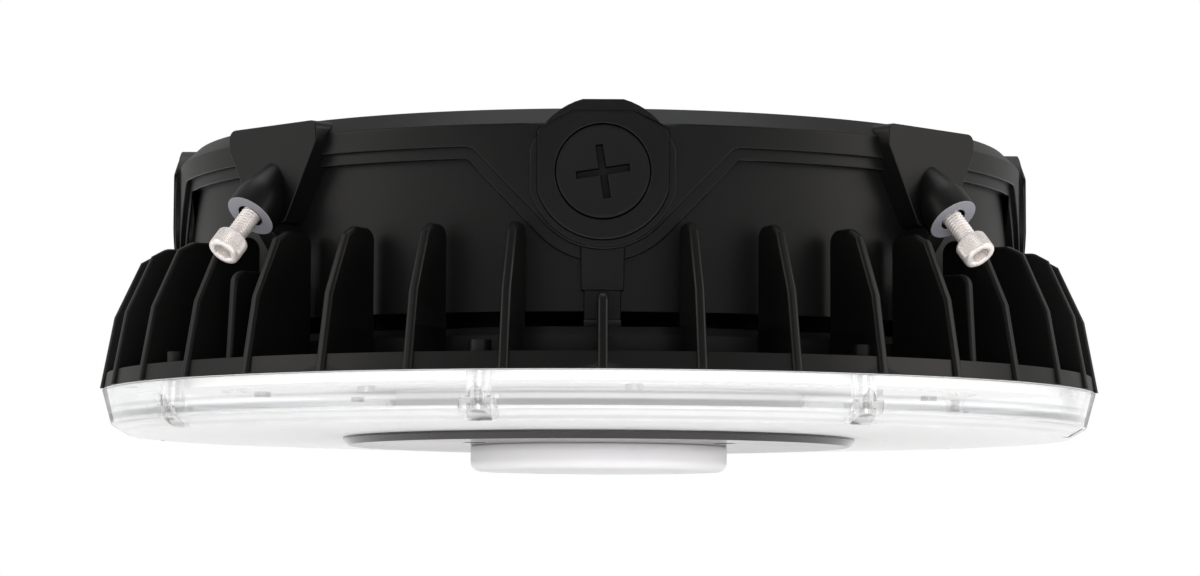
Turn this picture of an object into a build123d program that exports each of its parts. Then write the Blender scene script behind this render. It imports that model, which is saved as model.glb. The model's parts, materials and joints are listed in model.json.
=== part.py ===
from build123d import *
import os
from math import acos, atan2, cos, hypot, pi, radians, sin, tan

# LED canopy light for a ceiling, in millimetres.
# Origin: centre of the mounting plate's top face, which lies on the ceiling.
# +Z points up, the photographed side faces -Y.

os.makedirs("parts", exist_ok=True)

# Stack of the whole light, from the ceiling down
rim_gap = 3.0               # ceiling to the rim of the drum
rim_to_lens = 76.3          # rim of the drum to the seam over the lens
drum_depth = 58.8           # rim of the drum to its underside
lens_depth = 14.3           # seam to the flat bottom of the lens
plate_thick = 2.6           # centre plate
puck_height = 8.1           # sensor cover below the centre plate

drum_top = -rim_gap
drum_bottom = drum_top - drum_depth
seam = drum_top - rim_to_lens
lens_bottom = seam - lens_depth
plate_bottom = lens_bottom - plate_thick

# Clearances
touch_gap = 0.25            # between pieces that meet with a seal between them
thread_fit = 0.08           # radial, a screw in its thread
drill_clear = 0.3           # radial, a screw in a plain hole
tip_clear = 0.3             # between a screw's tip and the end of its hole
head_clear = 0.4            # over a sunk screw head
head_sink = 0.2             # a sunk head sits this far inside the face
overshoot = 1.0             # a cutter or a joined block runs this far past a face

# Heat sink
flange_radius = 159.5
flange_height = 4.8
flange_draft = 0.7
fin_proud = 1.3             # fins stand a little proud of the flange
fin_count = 36
fin_thick = 3.0
fin_round = 1.1
fin_height = 42.5           # above the seam
fin_bend_height = 22.5      # where the outer edge starts to lean in
fin_bend_in = 4.2
fin_shoulder_drop = 2.5
fin_shoulder_in = 12.3
fin_corner = 4.5
fin_top_round = 3.9
fin_root_up = 1.0           # inner end of a fin, above the seam
fin_sharp_below = 1.5       # edges stay sharp below this height
wall_to_fin = 2.4           # air gap between the drum wall and the fins
short_fin_height = 21.6
set_back = 5.9              # extra fins under the ears stand this far inside the rim
set_back_height = 31.0
set_back_in = 1.9
shoulder_radius = 134.5
shoulder_inner = 122.0
shoulder_height = 12.9      # above the seam
shoulder_chamfer = 2.4
pad_reach = 140.5           # straight pads of the shoulder under the hubs
pad_half = 16.0
pad_wing = 43.0
pad_wing_reach = 131.0
rib_count = 18
rib_thick = 2.4
rib_height = 5.0
rib_bite = 2.0              # both ends of a rib run into what they join
neck_radius = 17.0
neck_bore = 6.0
post_radius = 66.0          # round post that carries the centre plate
post_bore = 51.0            # hollow of the post, inside the plate's screws
post_roof = 1.0
boss_in = 6.7               # flange edge to the ring of lens screws
boss_radius = 3.25
boss_height = 3.4
boss_start = -56.0          # first lens screw, from the front towards +X
boss_steps = (0.0, 43.0, 85.0, 133.0)

# Drum
band_radius = 136.2
rim_radius = 131.0
rim_bevel = 5.0
band_height = 11.3
step_radius = 134.5
step_drop = 3.3
wall_radius = 132.0
wall_thick = 3.5
floor_thick = 3.5
floor_skin = 0.5            # left under the tapped holes
floor_screw_length = 4.5

# Conduit hubs
hub_drop = 18.9             # rim to the axis of the conduit
hub_round = 21.7
dip_margin = 0.7            # band edge outside the round of the hub
hub_half = 20.9
hub_radius = 136.3
hub_face = 137.1
hub_inner = 112.0
hub_inset = 1.8
hub_top_half = 8.4
hub_top_drop = 1.2
hub_corner_drop = 6.7
hub_face_chamfer = 0.5
hub_face_corner = 1.8
dip_half = 38.0             # the band dips to the hub from here
dip_round = 5.0
dip_spare = 15.0            # the outline of a dip runs on this far
same_spot = 0.01
column_half_top = 7.3
column_half_low = 6.0
column_face = 135.2
column_in = 9.0
column_step = 23.4          # above the seam
foot_half = 5.3
foot_face = 134.2
foot_height = 15.1
gasket_thick = 0.8
column_screw_grip = 12.0    # thread inside the column

# Conduit plugs, 3/4 inch pipe size
plug_radius = 13.5
plug_gap = 0.3
plug_head = 3.4
plug_seat_gap = 0.2
plug_thread_radius = 12.9
plug_length = 16.0
slot_length = 15.4
slot_width = 2.0
slot_depth = 2.6
slot_turn = 9.0

# Ears and their clamp bolts, M6
ear_face = 139.0
ear_half = 20.0
ear_top_drop = 1.2          # rim to the top of an ear
ear_straight = 7.4
ear_foot_half = 6.2
ear_drop = 30.8
ear_corner = 2.6
bolt_tilt = 48.8            # below horizontal, pointing out
bolt_boss_radius = 146.8
bolt_boss_drop = 28.95
bolt_boss_r = 7.75
bolt_boss_straight = 6.0    # plain part of the boss, before it tapers into the ear
bolt_boss_length = 19.5
bolt_boss_taper = 14.0
bolt_radius = 3.0
bolt_length = 30.0
bolt_out = 9.3              # how far the bolt is backed out
bolt_head_radius = 5.0
bolt_head_height = 6.0
bolt_head_chamfer = 0.5
bolt_tip_chamfer = 0.6
bolt_socket = 5.0           # across the flats
bolt_socket_depth = 3.2
bolt_mouth_radius = 3.9
bolt_mouth_depth = 1.6
gusset_half = 3.5
gusset_drop = 14.0
gusset_rise = 14.0
gusset_lip = 0.6
wire_seal_in = 1.0

# Mounting plate
steel = 2.0
crown_radius = 94.0
joggle_run = 6.0
joggle_shift = 0.6          # underside of the joggle, towards the axis
tab_bevel = 1.0
arm_drop = 3.5
arm_width = 56.0
tab_clear = 0.6             # tab to the wall of the drum
tab_bottom = 16.5
tab_hole_radius = 4.0
tab_hole_from = 34.0        # cutter for the tab's hole, along the bolt
tab_hole_long = 12.0
shelf_depth = 8.0
shelf_thick = 4.0
shelf_width = 28.0
box_slot_x = 88.9           # screws of a 3-1/2 inch ceiling box
box_slot_y = 69.8
box_slot_length = 14.0
box_slot_width = 4.8
wire_hole_radius = 13.0
grommet_bore = 9.5
grommet_lip = 2.5
grommet_groove = 0.1
grommet_tip = 1.0
ground_radius = 118.0
ground_side = 6.6
ground_head_radius = 4.0
ground_head_height = 2.2
ground_chamfer = 0.5
ground_shank = 1.95
ground_length = 6.0

# Driver and terminal block
driver_length = 150.0
driver_width = 60.0
driver_height = 25.0
driver_edge = 2.0
driver_foot = 9.0
driver_foot_thick = 2.0
driver_foot_in = 4.0
driver_shift = -8.0
terminal_length = 34.0
terminal_width = 14.0
terminal_height = 15.0
terminal_shift = 52.0
terminal_ear = 6.0
terminal_pitch = 7.0
terminal_rib = 1.6
terminal_foot_in = 2.0
terminal_chamfer = 1.0
terminal_head_radius = 2.9
small_screw_radius = 1.95
small_head_radius = 3.5
small_head_height = 2.2
small_length = 5.0

# Light engine
pad_thick = 0.4
pad_in = 0.5
board_thick = 1.6
board_inner = 104.0
board_outer = 127.0
chip_ring = 118.0
chip_pitch = 7.0
chip_length = 3.5
chip_width = 2.8
chip_height = 0.7
board_screw_ring = 109.0
board_screw_count = 8
board_screw_head = 2.6
board_screw_head_height = 1.8
board_screw_radius = 1.45
board_screw_length = 3.2    # thread in the plate
sheet_thick = 0.6
sheet_gap = 4.2             # chip row to the edges of the white sheets
sheet_in = 10.6             # flange edge to the white ring
sheet_inner = 67.0

# Lens
lens_proud = 0.5            # lens past the flange
lens_wall = 2.5
lens_side_in = 3.0
lens_side_height = 11.1
lens_bevel_in = 8.3
lens_hole = 61.8
tube_radius = 3.55
tube_bore = 2.25
tube_foot_radius = 5.75
tube_foot_height = 2.6
lens_screw_radius = 1.95
lens_head_radius = 3.25
lens_head_height = 2.4
lens_head_up = 4.6          # head seat above the bottom of the lens
lens_screw_reach = 6.6      # thread above the seam
seal_in = 0.6
seal_width = 1.3
seal_fit = 0.05
seal_sink = 0.8
lens_socket = 1.5
lens_socket_depth = 1.2
lens_head_chamfer = 0.4

# Centre plate and sensor
plate_radius = 83.0
plate_chamfer = 1.9
plate_edge = 0.7
plate_hole = 20.0
plate_screw_ring = 55.5
plate_screw_count = 4
plate_screw_start = 45.0
puck_radius = 41.6
puck_wall = 2.0
puck_round = 3.0
sensor_base_thick = 1.5
sensor_base_hole = 14.0
sensor_fit = 0.3
sensor_board_radius = 30.0
sensor_board_up = 2.4
sensor_post_radius = 3.0
sensor_post_ring = 24.0
sensor_post_count = 3
sensor_board_thick = 1.6
sensor_chip = 9.0
sensor_chip_up = 1.6

hub_turns = {"front": -90.0, "right": 0.0, "back": 90.0, "left": 180.0}
ear_turns = {"front_right": -45.0, "back_right": 45.0, "back_left": 135.0, "front_left": -135.0}

hub_axis = drum_top - hub_drop
fin_radius = flange_radius + fin_proud
boss_ring = flange_radius - boss_in
sheet_outer = flange_radius - sheet_in
lens_radius = flange_radius + lens_proud
band_low = drum_top - band_height
fin_inner = wall_radius + wall_to_fin
flange_top = seam + flange_height
full_turn = 360.0


def place_at_hubs():
    """Four places about the light's axis, one at each conduit hub."""
    return PolarLocations(0, len(hub_turns), start_angle=hub_turns["front"])


def place_at_ears():
    """Four places about the light's axis, one at each ear."""
    return PolarLocations(0, len(ear_turns), start_angle=ear_turns["front_right"])


def lens_screw_places():
    """Places of the lens screws, in four opposite pairs."""
    turns = [hub_turns["front"] + boss_start + step for step in boss_steps]
    turns += [turn + 180 for turn in turns]
    return [(boss_ring * cos(radians(turn)), boss_ring * sin(radians(turn))) for turn in turns]


def save(piece, name):
    piece.label = name
    export_step(piece, f"parts/{name}.step")


# Fins, drawn in the X-Z plane with the light's axis at X = 0


def tall_fin():
    """A fin with a tombstone outline: leaning outer edge and rounded top corners."""
    top = seam + fin_height
    with BuildPart() as fin:
        with BuildSketch(Plane.XZ):
            with BuildLine():
                Polyline(
                    (fin_inner, seam + fin_root_up),
                    (fin_radius, seam),
                    (fin_radius - fin_bend_in, seam + fin_bend_height),
                    (fin_radius - fin_shoulder_in, top - fin_shoulder_drop),
                    (fin_radius - fin_shoulder_in - fin_corner, top),
                    (fin_inner, top),
                    close=True,
                )
            make_face()
            fillet(vertices().group_by(Axis.Y)[-1], fin_top_round)
        extrude(amount=fin_thick / 2, both=True)
        fillet(fin.faces().filter_by(Axis.Y).edges().filter_by(
            lambda edge: edge.center().Z > seam + fin_sharp_below), fin_round)
    return fin.part


def low_fin(outer, lean, height):
    """A shorter fin with a nearly upright outer edge and one rounded corner."""
    top = seam + height
    with BuildPart() as fin:
        with BuildSketch(Plane.XZ):
            with BuildLine():
                Polyline(
                    (fin_inner, seam + fin_root_up),
                    (outer, seam),
                    (outer - lean, top),
                    (fin_inner, top),
                    close=True,
                )
            make_face()
            fillet(vertices().group_by(Axis.Y)[-1], fin_top_round)
        extrude(amount=fin_thick / 2, both=True)
        fillet(fin.faces().filter_by(Axis.Y).edges().filter_by(
            lambda edge: edge.center().Z > seam + fin_sharp_below), fin_round)
    return fin.part


fin_pitch = full_turn / fin_count
fins_between_hubs = fin_count // len(hub_turns) - 1
tall = tall_fin()
short = low_fin(fin_radius, fin_bend_in * short_fin_height / fin_bend_height, short_fin_height)
back_set = low_fin(fin_radius - set_back, set_back_in, set_back_height)

# Heat sink

with BuildPart() as heat_sink:
    with BuildSketch(Plane.XZ):
        with BuildLine():
            Polyline(
                (0, seam),
                (flange_radius, seam),
                (flange_radius - flange_draft, flange_top),
                (0, flange_top),
                close=True,
            )
        make_face()
    revolve(axis=Axis.Z)
    # shoulder ring with a straight pad and two wings under each hub
    with BuildSketch(Plane.XY.offset(flange_top)) as shoulder:
        Circle(shoulder_radius)
        with place_at_hubs():
            Polygon(
                (0, -pad_wing),
                (pad_wing_reach, -pad_wing),
                (pad_reach, -pad_half),
                (pad_reach, pad_half),
                (pad_wing_reach, pad_wing),
                (0, pad_wing),
                align=None,
            )
        Circle(shoulder_inner, mode=Mode.SUBTRACT)
    extrude(amount=shoulder_height - flange_height)
    chamfer(heat_sink.faces().sort_by(Axis.Z)[-1].outer_wire().edges(), shoulder_chamfer)
    # pillars that carry the drum's columns
    with BuildSketch(Plane.XY.offset(flange_top)):
        with place_at_hubs():
            with Locations((foot_face - column_in / 2, 0)):
                Rectangle(column_in, 2 * foot_half)
    extrude(amount=foot_height - gasket_thick - flange_height)
    # low ribs on the plate, under the drum
    with BuildSketch(Plane.XY.offset(flange_top)):
        with PolarLocations(0, rib_count):
            with Locations(((shoulder_inner + neck_radius) / 2, 0)):
                Rectangle(shoulder_inner - neck_radius + 2 * rib_bite, rib_thick)
    extrude(amount=rib_height)
    # neck for the leads and post for the centre plate
    with BuildSketch(Plane.XY.offset(flange_top)):
        Circle(neck_radius)
    extrude(amount=drum_bottom - gasket_thick - flange_top)
    with BuildSketch(Plane.XY.offset(seam)):
        Circle(post_radius)
    extrude(amount=-(lens_depth - lens_wall - gasket_thick))
    with BuildSketch(Plane.XY.offset(seam)):
        Circle(lens_hole - touch_gap)
    extrude(amount=-lens_depth)
    with BuildSketch(Plane.XY.offset(lens_bottom)):
        Circle(post_bore)
    extrude(amount=lens_depth - post_roof, mode=Mode.SUBTRACT)
    # fins
    for turn in hub_turns.values():
        with PolarLocations(0, fins_between_hubs, start_angle=turn + fin_pitch,
                            angular_range=full_turn / len(hub_turns) - 2 * fin_pitch, endpoint=True):
            add(tall)
    with place_at_hubs():
        add(short)
    with place_at_ears():
        add(back_set)
    # screw bosses on the flange
    with BuildSketch(Plane.XY.offset(flange_top - overshoot)):
        with Locations(*lens_screw_places()):
            Circle(boss_radius)
    extrude(amount=boss_height + overshoot)
    # holes and the groove of the lens seal
    with BuildSketch(Plane.XY.offset(seam)):
        with Locations(*lens_screw_places()):
            Circle(lens_screw_radius + thread_fit)
    extrude(amount=lens_screw_reach + tip_clear, mode=Mode.SUBTRACT)
    with BuildSketch(Plane.XY.offset(seam)):
        Circle(flange_radius - seal_in)
        Circle(flange_radius - seal_in - seal_width, mode=Mode.SUBTRACT)
    extrude(amount=seal_sink, mode=Mode.SUBTRACT)
    with BuildSketch(Plane.XY.offset(seam)):
        with place_at_hubs():
            with Locations((foot_face - column_in / 2, 0)):
                Circle(small_screw_radius + drill_clear)
    extrude(amount=foot_height, mode=Mode.SUBTRACT)
    with BuildSketch(Plane.XY.offset(seam)):
        with place_at_hubs():
            with Locations((foot_face - column_in / 2, 0)):
                Circle(small_head_radius + drill_clear)
    extrude(amount=small_head_height + head_clear, mode=Mode.SUBTRACT)
    with BuildSketch(Plane.XY.offset(seam - overshoot)):
        Circle(neck_bore)
    extrude(amount=rim_to_lens, mode=Mode.SUBTRACT)
    with BuildSketch(Plane.XY.offset(lens_bottom)):
        with PolarLocations(plate_screw_ring, plate_screw_count, start_angle=plate_screw_start):
            Circle(small_screw_radius + thread_fit)
    extrude(amount=small_length + 2 * overshoot, mode=Mode.SUBTRACT)
    with BuildSketch(Plane.XY.offset(seam)):
        with PolarLocations(board_screw_ring, board_screw_count, start_angle=fin_pitch / 2):
            Circle(board_screw_radius + thread_fit)
    extrude(amount=board_screw_length + 2 * tip_clear, mode=Mode.SUBTRACT)
save(heat_sink.part, "heat_sink")

# Drum that holds the driver


def dip_outline(grow):
    """Band edge at a hub: a straight edge that dips down tangent lines to the hub's round."""
    rise = hub_axis - band_low
    reach = hypot(dip_half, rise)
    round_edge = hub_round + dip_margin
    turn = atan2(-rise, dip_half) - acos(round_edge / reach)
    side = round_edge * cos(turn)
    low = hub_axis + round_edge * sin(turn)
    with BuildSketch(Plane.YZ.offset(wall_radius - wall_thick)) as outline:
        with Locations((0, (drum_top + band_low) / 2)):
            Rectangle(2 * dip_half + 2 * dip_spare, drum_top - band_low)
        Polygon((-dip_half, band_low), (dip_half, band_low), (side, low), (-side, low), align=None)
        fillet(outline.vertices().filter_by(
            lambda corner: abs(abs(corner.X) - dip_half) < same_spot
            and abs(corner.Y - band_low) < same_spot), dip_round)
        with Locations((0, hub_axis)):
            Circle(round_edge)
        if grow > 0:
            offset(amount=grow)
    return outline.sketch


def recess(grow, radius):
    """Ring to cut from the drum below its band, spared where the band dips at the hubs."""
    outline = dip_outline(grow)
    with BuildPart() as dip:
        extrude(outline, amount=band_radius - wall_radius + wall_thick + dip_spare, dir=(1, 0, 0))
    spared = dip.part
    with BuildPart() as ring:
        with BuildSketch(Plane.XY.offset(drum_bottom - overshoot)):
            Circle(band_radius + 2 * overshoot)
            Circle(radius, mode=Mode.SUBTRACT)
        extrude(amount=band_low - grow - drum_bottom + overshoot)
        with place_at_hubs():
            add(spared, mode=Mode.SUBTRACT)
    return ring.part


def hub_solid():
    """Conduit hub: a round barrel with flat sides and an octagonal raised face."""
    crown = hub_axis + hub_half
    with BuildPart() as hub:
        with BuildSketch(Plane.YZ.offset(hub_inner)):
            with Locations((0, hub_axis)):
                Circle(hub_round)
            with Locations((0, (crown + hub_axis - hub_round) / 2)):
                Rectangle(2 * hub_half, crown - hub_axis + hub_round, mode=Mode.INTERSECT)
        extrude(amount=hub_radius - hub_inner)
        inset_half = hub_half - hub_inset
        with BuildSketch(Plane.YZ.offset(hub_radius)) as raised:
            with Locations((0, hub_axis)):
                Circle(hub_round - hub_inset)
            with Locations((0, hub_axis - hub_round / 2)):
                Rectangle(2 * inset_half, hub_round, mode=Mode.INTERSECT)
            Polygon(
                (-inset_half, hub_axis),
                (inset_half, hub_axis),
                (inset_half, drum_top - hub_corner_drop),
                (hub_top_half, drum_top - hub_top_drop),
                (-hub_top_half, drum_top - hub_top_drop),
                (-inset_half, drum_top - hub_corner_drop),
                align=None,
            )
            fillet(raised.vertices(), hub_face_corner)
        extrude(amount=hub_face - hub_radius)
        chamfer(hub.faces().sort_by(Axis.X)[-1].edges(), hub_face_chamfer)
    return hub.part


def column_solid():
    """Column under a hub, a tapered upper part over a narrower foot."""
    with BuildPart() as column:
        with BuildSketch(Plane.YZ.offset(column_face - column_in)):
            Polygon(
                (-column_half_top, hub_axis),
                (column_half_top, hub_axis),
                (column_half_low, seam + column_step),
                (-column_half_low, seam + column_step),
                align=None,
            )
        extrude(amount=column_in)
        with BuildSketch(Plane.YZ.offset(foot_face - column_in)):
            with Locations((0, seam + (column_step + foot_height) / 2)):
                Rectangle(2 * foot_half, column_step - foot_height)
        extrude(amount=column_in)
    return column.part


bolt_line = Plane(
    origin=(bolt_boss_radius, 0, drum_top - bolt_boss_drop),
    x_dir=(0, 1, 0),
    z_dir=(cos(radians(bolt_tilt)), 0, -sin(radians(bolt_tilt))),
)
# a boss in side view: X runs up the bolt's line into the ear, Y is the radius
boss_side = Plane(origin=bolt_line.origin, x_dir=-bolt_line.z_dir, z_dir=(0, 1, 0))
boss_root_r = bolt_boss_r - (bolt_boss_length - bolt_boss_straight) * tan(radians(bolt_boss_taper))


def ear_solid():
    """Ear with a flat tapered face, a slanted boss that tapers into it and a gusset under the boss."""
    root = wall_radius - wall_thick + overshoot
    low_r = bolt_boss_radius - bolt_boss_r * sin(radians(bolt_tilt))
    low_z = drum_top - bolt_boss_drop - bolt_boss_r * cos(radians(bolt_tilt))
    with BuildPart() as ear:
        with BuildSketch(Plane.YZ.offset(root)) as face:
            Polygon(
                (-ear_half, drum_top - ear_top_drop),
                (ear_half, drum_top - ear_top_drop),
                (ear_half, drum_top - ear_straight),
                (ear_foot_half, drum_top - ear_drop),
                (-ear_foot_half, drum_top - ear_drop),
                (-ear_half, drum_top - ear_straight),
                align=None,
            )
            fillet(face.vertices(), ear_corner)
        extrude(amount=ear_face - root)
        with BuildSketch(boss_side):
            Polygon(
                (0, 0),
                (0, bolt_boss_r),
                (bolt_boss_straight, bolt_boss_r),
                (bolt_boss_length, boss_root_r),
                (bolt_boss_length, 0),
                align=None,
            )
        revolve(axis=Axis(bolt_line.origin, bolt_line.z_dir))
        with BuildSketch(Plane.XZ):
            Polygon(
                (root, low_z + gusset_rise),
                (low_r, low_z + gusset_lip),
                (root, low_z - gusset_drop),
                align=None,
            )
        extrude(amount=gusset_half, both=True)
    return ear.part


def conduit_bore():
    """Stepped bore of a hub: the thread, and a wider mouth for the plug's head."""
    with BuildPart() as bore:
        with BuildSketch(Plane.YZ.offset(hub_inner - overshoot)):
            with Locations((0, hub_axis)):
                Circle(plug_thread_radius + thread_fit)
        extrude(amount=hub_face - hub_inner + 2 * overshoot)
        with BuildSketch(Plane.YZ.offset(hub_face - plug_head)):
            with Locations((0, hub_axis)):
                Circle(plug_radius + plug_gap)
        extrude(amount=plug_head + overshoot)
    return bore.part


def bolt_bore():
    """Slanted hole through an ear's boss, with a wider mouth."""
    with BuildPart() as drill:
        with BuildSketch(bolt_line):
            Circle(bolt_radius + thread_fit)
        extrude(amount=bolt_length, both=True)
        with BuildSketch(bolt_line):
            Circle(bolt_mouth_radius)
        extrude(amount=-bolt_mouth_depth)
    return drill.part


inner = wall_radius - wall_thick
driver_floor = drum_bottom + floor_thick
column_screw_at = foot_face - column_in / 2
driver_screw_places = [
    (side * (driver_length - driver_foot) / 2, driver_shift + way * driver_width / 4)
    for side in (-1, 1) for way in (-1, 1)
]
terminal_screw_places = [
    (side * (terminal_length / 2 - terminal_ear / 2), terminal_shift) for side in (-1, 1)
]
step_cut = recess(0, step_radius)
wall_cut = recess(step_drop, wall_radius)
column = column_solid()
hub = hub_solid()
ear = ear_solid()
hub_hole = conduit_bore()
ear_hole = bolt_bore()

with BuildPart() as driver_housing:
    with BuildSketch(Plane.XZ):
        with BuildLine():
            Polyline(
                (0, drum_bottom),
                (band_radius, drum_bottom),
                (band_radius, drum_top - rim_bevel),
                (rim_radius, drum_top),
                (inner, drum_top),
                (inner, driver_floor),
                (0, driver_floor),
                close=True,
            )
        make_face()
    revolve(axis=Axis.Z)
    add(step_cut, mode=Mode.SUBTRACT)
    add(wall_cut, mode=Mode.SUBTRACT)
    with place_at_ears():
        add(ear)
    with place_at_hubs():
        add(column)
    with place_at_hubs():
        add(hub)
    # shelves behind the ears, where the tabs of the mounting plate rest
    with BuildSketch(Plane.XY.offset(-tab_bottom)):
        with place_at_ears():
            with Locations((inner - shelf_depth / 2 + overshoot, 0)):
                Rectangle(shelf_depth + 2 * overshoot, shelf_width)
        Circle(inner + overshoot, mode=Mode.INTERSECT)
    extrude(amount=-shelf_thick)
    with place_at_hubs():
        add(hub_hole, mode=Mode.SUBTRACT)
    with place_at_ears():
        add(ear_hole, mode=Mode.SUBTRACT)
    # tapped holes under the columns
    with BuildSketch(Plane.XY.offset(seam + foot_height)):
        with place_at_hubs():
            with Locations((column_screw_at, 0)):
                Circle(small_screw_radius + thread_fit)
    extrude(amount=column_screw_grip + overshoot, mode=Mode.SUBTRACT)
    # lead hole in the floor
    with BuildSketch(Plane.XY.offset(drum_bottom)):
        Circle(neck_bore)
    extrude(amount=floor_thick, mode=Mode.SUBTRACT)
    # tapped holes for the driver and the terminal block
    with BuildSketch(Plane.XY.offset(driver_floor)):
        with Locations(*driver_screw_places):
            Circle(small_screw_radius + thread_fit)
        with Locations(*terminal_screw_places):
            Circle(small_screw_radius + thread_fit)
    extrude(amount=-(floor_thick - floor_skin), mode=Mode.SUBTRACT)
save(driver_housing.part, "driver_housing")

# Seals and screws between the drum and the heat sink

with BuildPart() as column_gaskets:
    with BuildSketch(Plane.XY.offset(seam + foot_height - gasket_thick)):
        with place_at_hubs():
            with Locations((column_screw_at, 0)):
                Rectangle(column_in, 2 * foot_half)
                Circle(small_screw_radius + drill_clear, mode=Mode.SUBTRACT)
    extrude(amount=gasket_thick)
save(column_gaskets.part, "column_gaskets")

with BuildPart() as wire_seal:
    with BuildSketch(Plane.XY.offset(drum_bottom - gasket_thick)):
        Circle(neck_radius - wire_seal_in)
        Circle(neck_bore, mode=Mode.SUBTRACT)
    extrude(amount=gasket_thick)
save(wire_seal.part, "wire_seal")

with BuildPart() as column_screws:
    with BuildSketch(Plane.XY.offset(seam + head_sink)):
        with place_at_hubs():
            with Locations((column_screw_at, 0)):
                Circle(small_head_radius)
    extrude(amount=small_head_height)
    with BuildSketch(Plane.XY.offset(seam + head_sink + small_head_height)):
        with place_at_hubs():
            with Locations((column_screw_at, 0)):
                Circle(small_screw_radius)
    extrude(amount=foot_height + column_screw_grip - small_head_height - head_sink)
save(column_screws.part, "column_screws")

# Mounting plate on the ceiling box

tab_outer = inner - tab_clear
arm_top = -arm_drop
ground_turn = radians(ear_turns["front_right"])
ground_place = (
    ground_radius * cos(ground_turn) - ground_side * sin(ground_turn),
    ground_radius * sin(ground_turn) + ground_side * cos(ground_turn),
)

with BuildPart() as tip_path:
    with BuildSketch(bolt_line.offset(-tab_hole_from)):
        Circle(tab_hole_radius)
    extrude(amount=tab_hole_long)
tab_hole = tip_path.part

with BuildPart() as mounting_plate:
    with BuildSketch(Plane.XZ):
        with BuildLine():
            Polyline(
                (0, 0),
                (crown_radius, 0),
                (crown_radius + joggle_run, arm_top),
                (tab_outer - tab_bevel, arm_top),
                (tab_outer, arm_top - tab_bevel),
                (tab_outer, -tab_bottom),
                (tab_outer - steel, -tab_bottom),
                (tab_outer - steel, arm_top - steel),
                (crown_radius + joggle_run - joggle_shift, arm_top - steel),
                (crown_radius - joggle_shift, -steel),
                (0, -steel),
                close=True,
            )
        make_face()
    revolve(axis=Axis.Z)
    # only the crown and four arms stay, clear of the conduit hubs
    with BuildSketch(Plane.XY.offset(-tab_bottom)):
        Circle(crown_radius + joggle_run)
        with place_at_ears():
            with Locations((tab_outer / 2, 0)):
                Rectangle(tab_outer + 2 * overshoot, arm_width)
    extrude(amount=tab_bottom, mode=Mode.INTERSECT)
    with BuildSketch(Plane.XY.offset(-tab_bottom)):
        Circle(wire_hole_radius)
        with Locations((-box_slot_x / 2, 0), (box_slot_x / 2, 0)):
            SlotOverall(box_slot_length, box_slot_width)
        with Locations((0, -box_slot_y / 2), (0, box_slot_y / 2)):
            SlotOverall(box_slot_length, box_slot_width, rotation=90)
        with Locations(ground_place):
            Circle(ground_shank + thread_fit)
    extrude(amount=tab_bottom, mode=Mode.SUBTRACT)
    with place_at_ears():
        add(tab_hole, mode=Mode.SUBTRACT)
save(mounting_plate.part, "mounting_plate")

with BuildPart() as wire_grommet:
    with BuildSketch(Plane.XZ):
        with BuildLine():
            Polyline(
                (grommet_bore, 0),
                (wire_hole_radius - thread_fit, 0),
                (wire_hole_radius - thread_fit, -steel - grommet_groove),
                (wire_hole_radius + grommet_lip, -steel - grommet_groove),
                (wire_hole_radius + grommet_lip, -steel - grommet_lip),
                (grommet_bore, -steel - grommet_lip - grommet_tip),
                close=True,
            )
        make_face()
    revolve(axis=Axis.Z)
save(wire_grommet.part, "wire_grommet")

with BuildPart() as ground_screw:
    with BuildSketch(Plane.XY.offset(arm_top)):
        with Locations(ground_place):
            RegularPolygon(ground_head_radius, 6)
    extrude(amount=ground_head_height)
    chamfer(ground_screw.faces().sort_by(Axis.Z)[-1].edges(), ground_chamfer)
    with BuildSketch(Plane.XY.offset(arm_top)):
        with Locations(ground_place):
            Circle(ground_shank)
    extrude(amount=-ground_length)
save(ground_screw.part, "ground_screw")

# Driver and terminal block on the floor of the drum

with BuildPart() as driver_case:
    with BuildSketch(Plane.XY.offset(driver_floor)):
        with Locations((0, driver_shift)):
            Rectangle(driver_length - 2 * driver_foot, driver_width)
    extrude(amount=driver_height)
    fillet(driver_case.edges().filter_by(Axis.Z), driver_edge)
    chamfer(driver_case.faces().sort_by(Axis.Z)[-1].edges(), driver_edge / 2)
    with BuildSketch(Plane.XY.offset(driver_floor)):
        with Locations((0, driver_shift)):
            Rectangle(driver_length, driver_width - 2 * driver_foot_in)
    extrude(amount=driver_foot_thick)
    with BuildSketch(Plane.XY.offset(driver_floor)):
        with Locations(*driver_screw_places):
            Circle(small_screw_radius + drill_clear)
    extrude(amount=driver_foot_thick, mode=Mode.SUBTRACT)
save(driver_case.part, "driver_case")

with BuildPart() as driver_screws:
    with BuildSketch(Plane.XY.offset(driver_floor + driver_foot_thick)):
        with Locations(*driver_screw_places):
            Circle(small_head_radius)
    extrude(amount=small_head_height)
    with BuildSketch(Plane.XY.offset(driver_floor + driver_foot_thick)):
        with Locations(*driver_screw_places):
            Circle(small_screw_radius)
    extrude(amount=-floor_screw_length)
save(driver_screws.part, "driver_screws")

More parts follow.
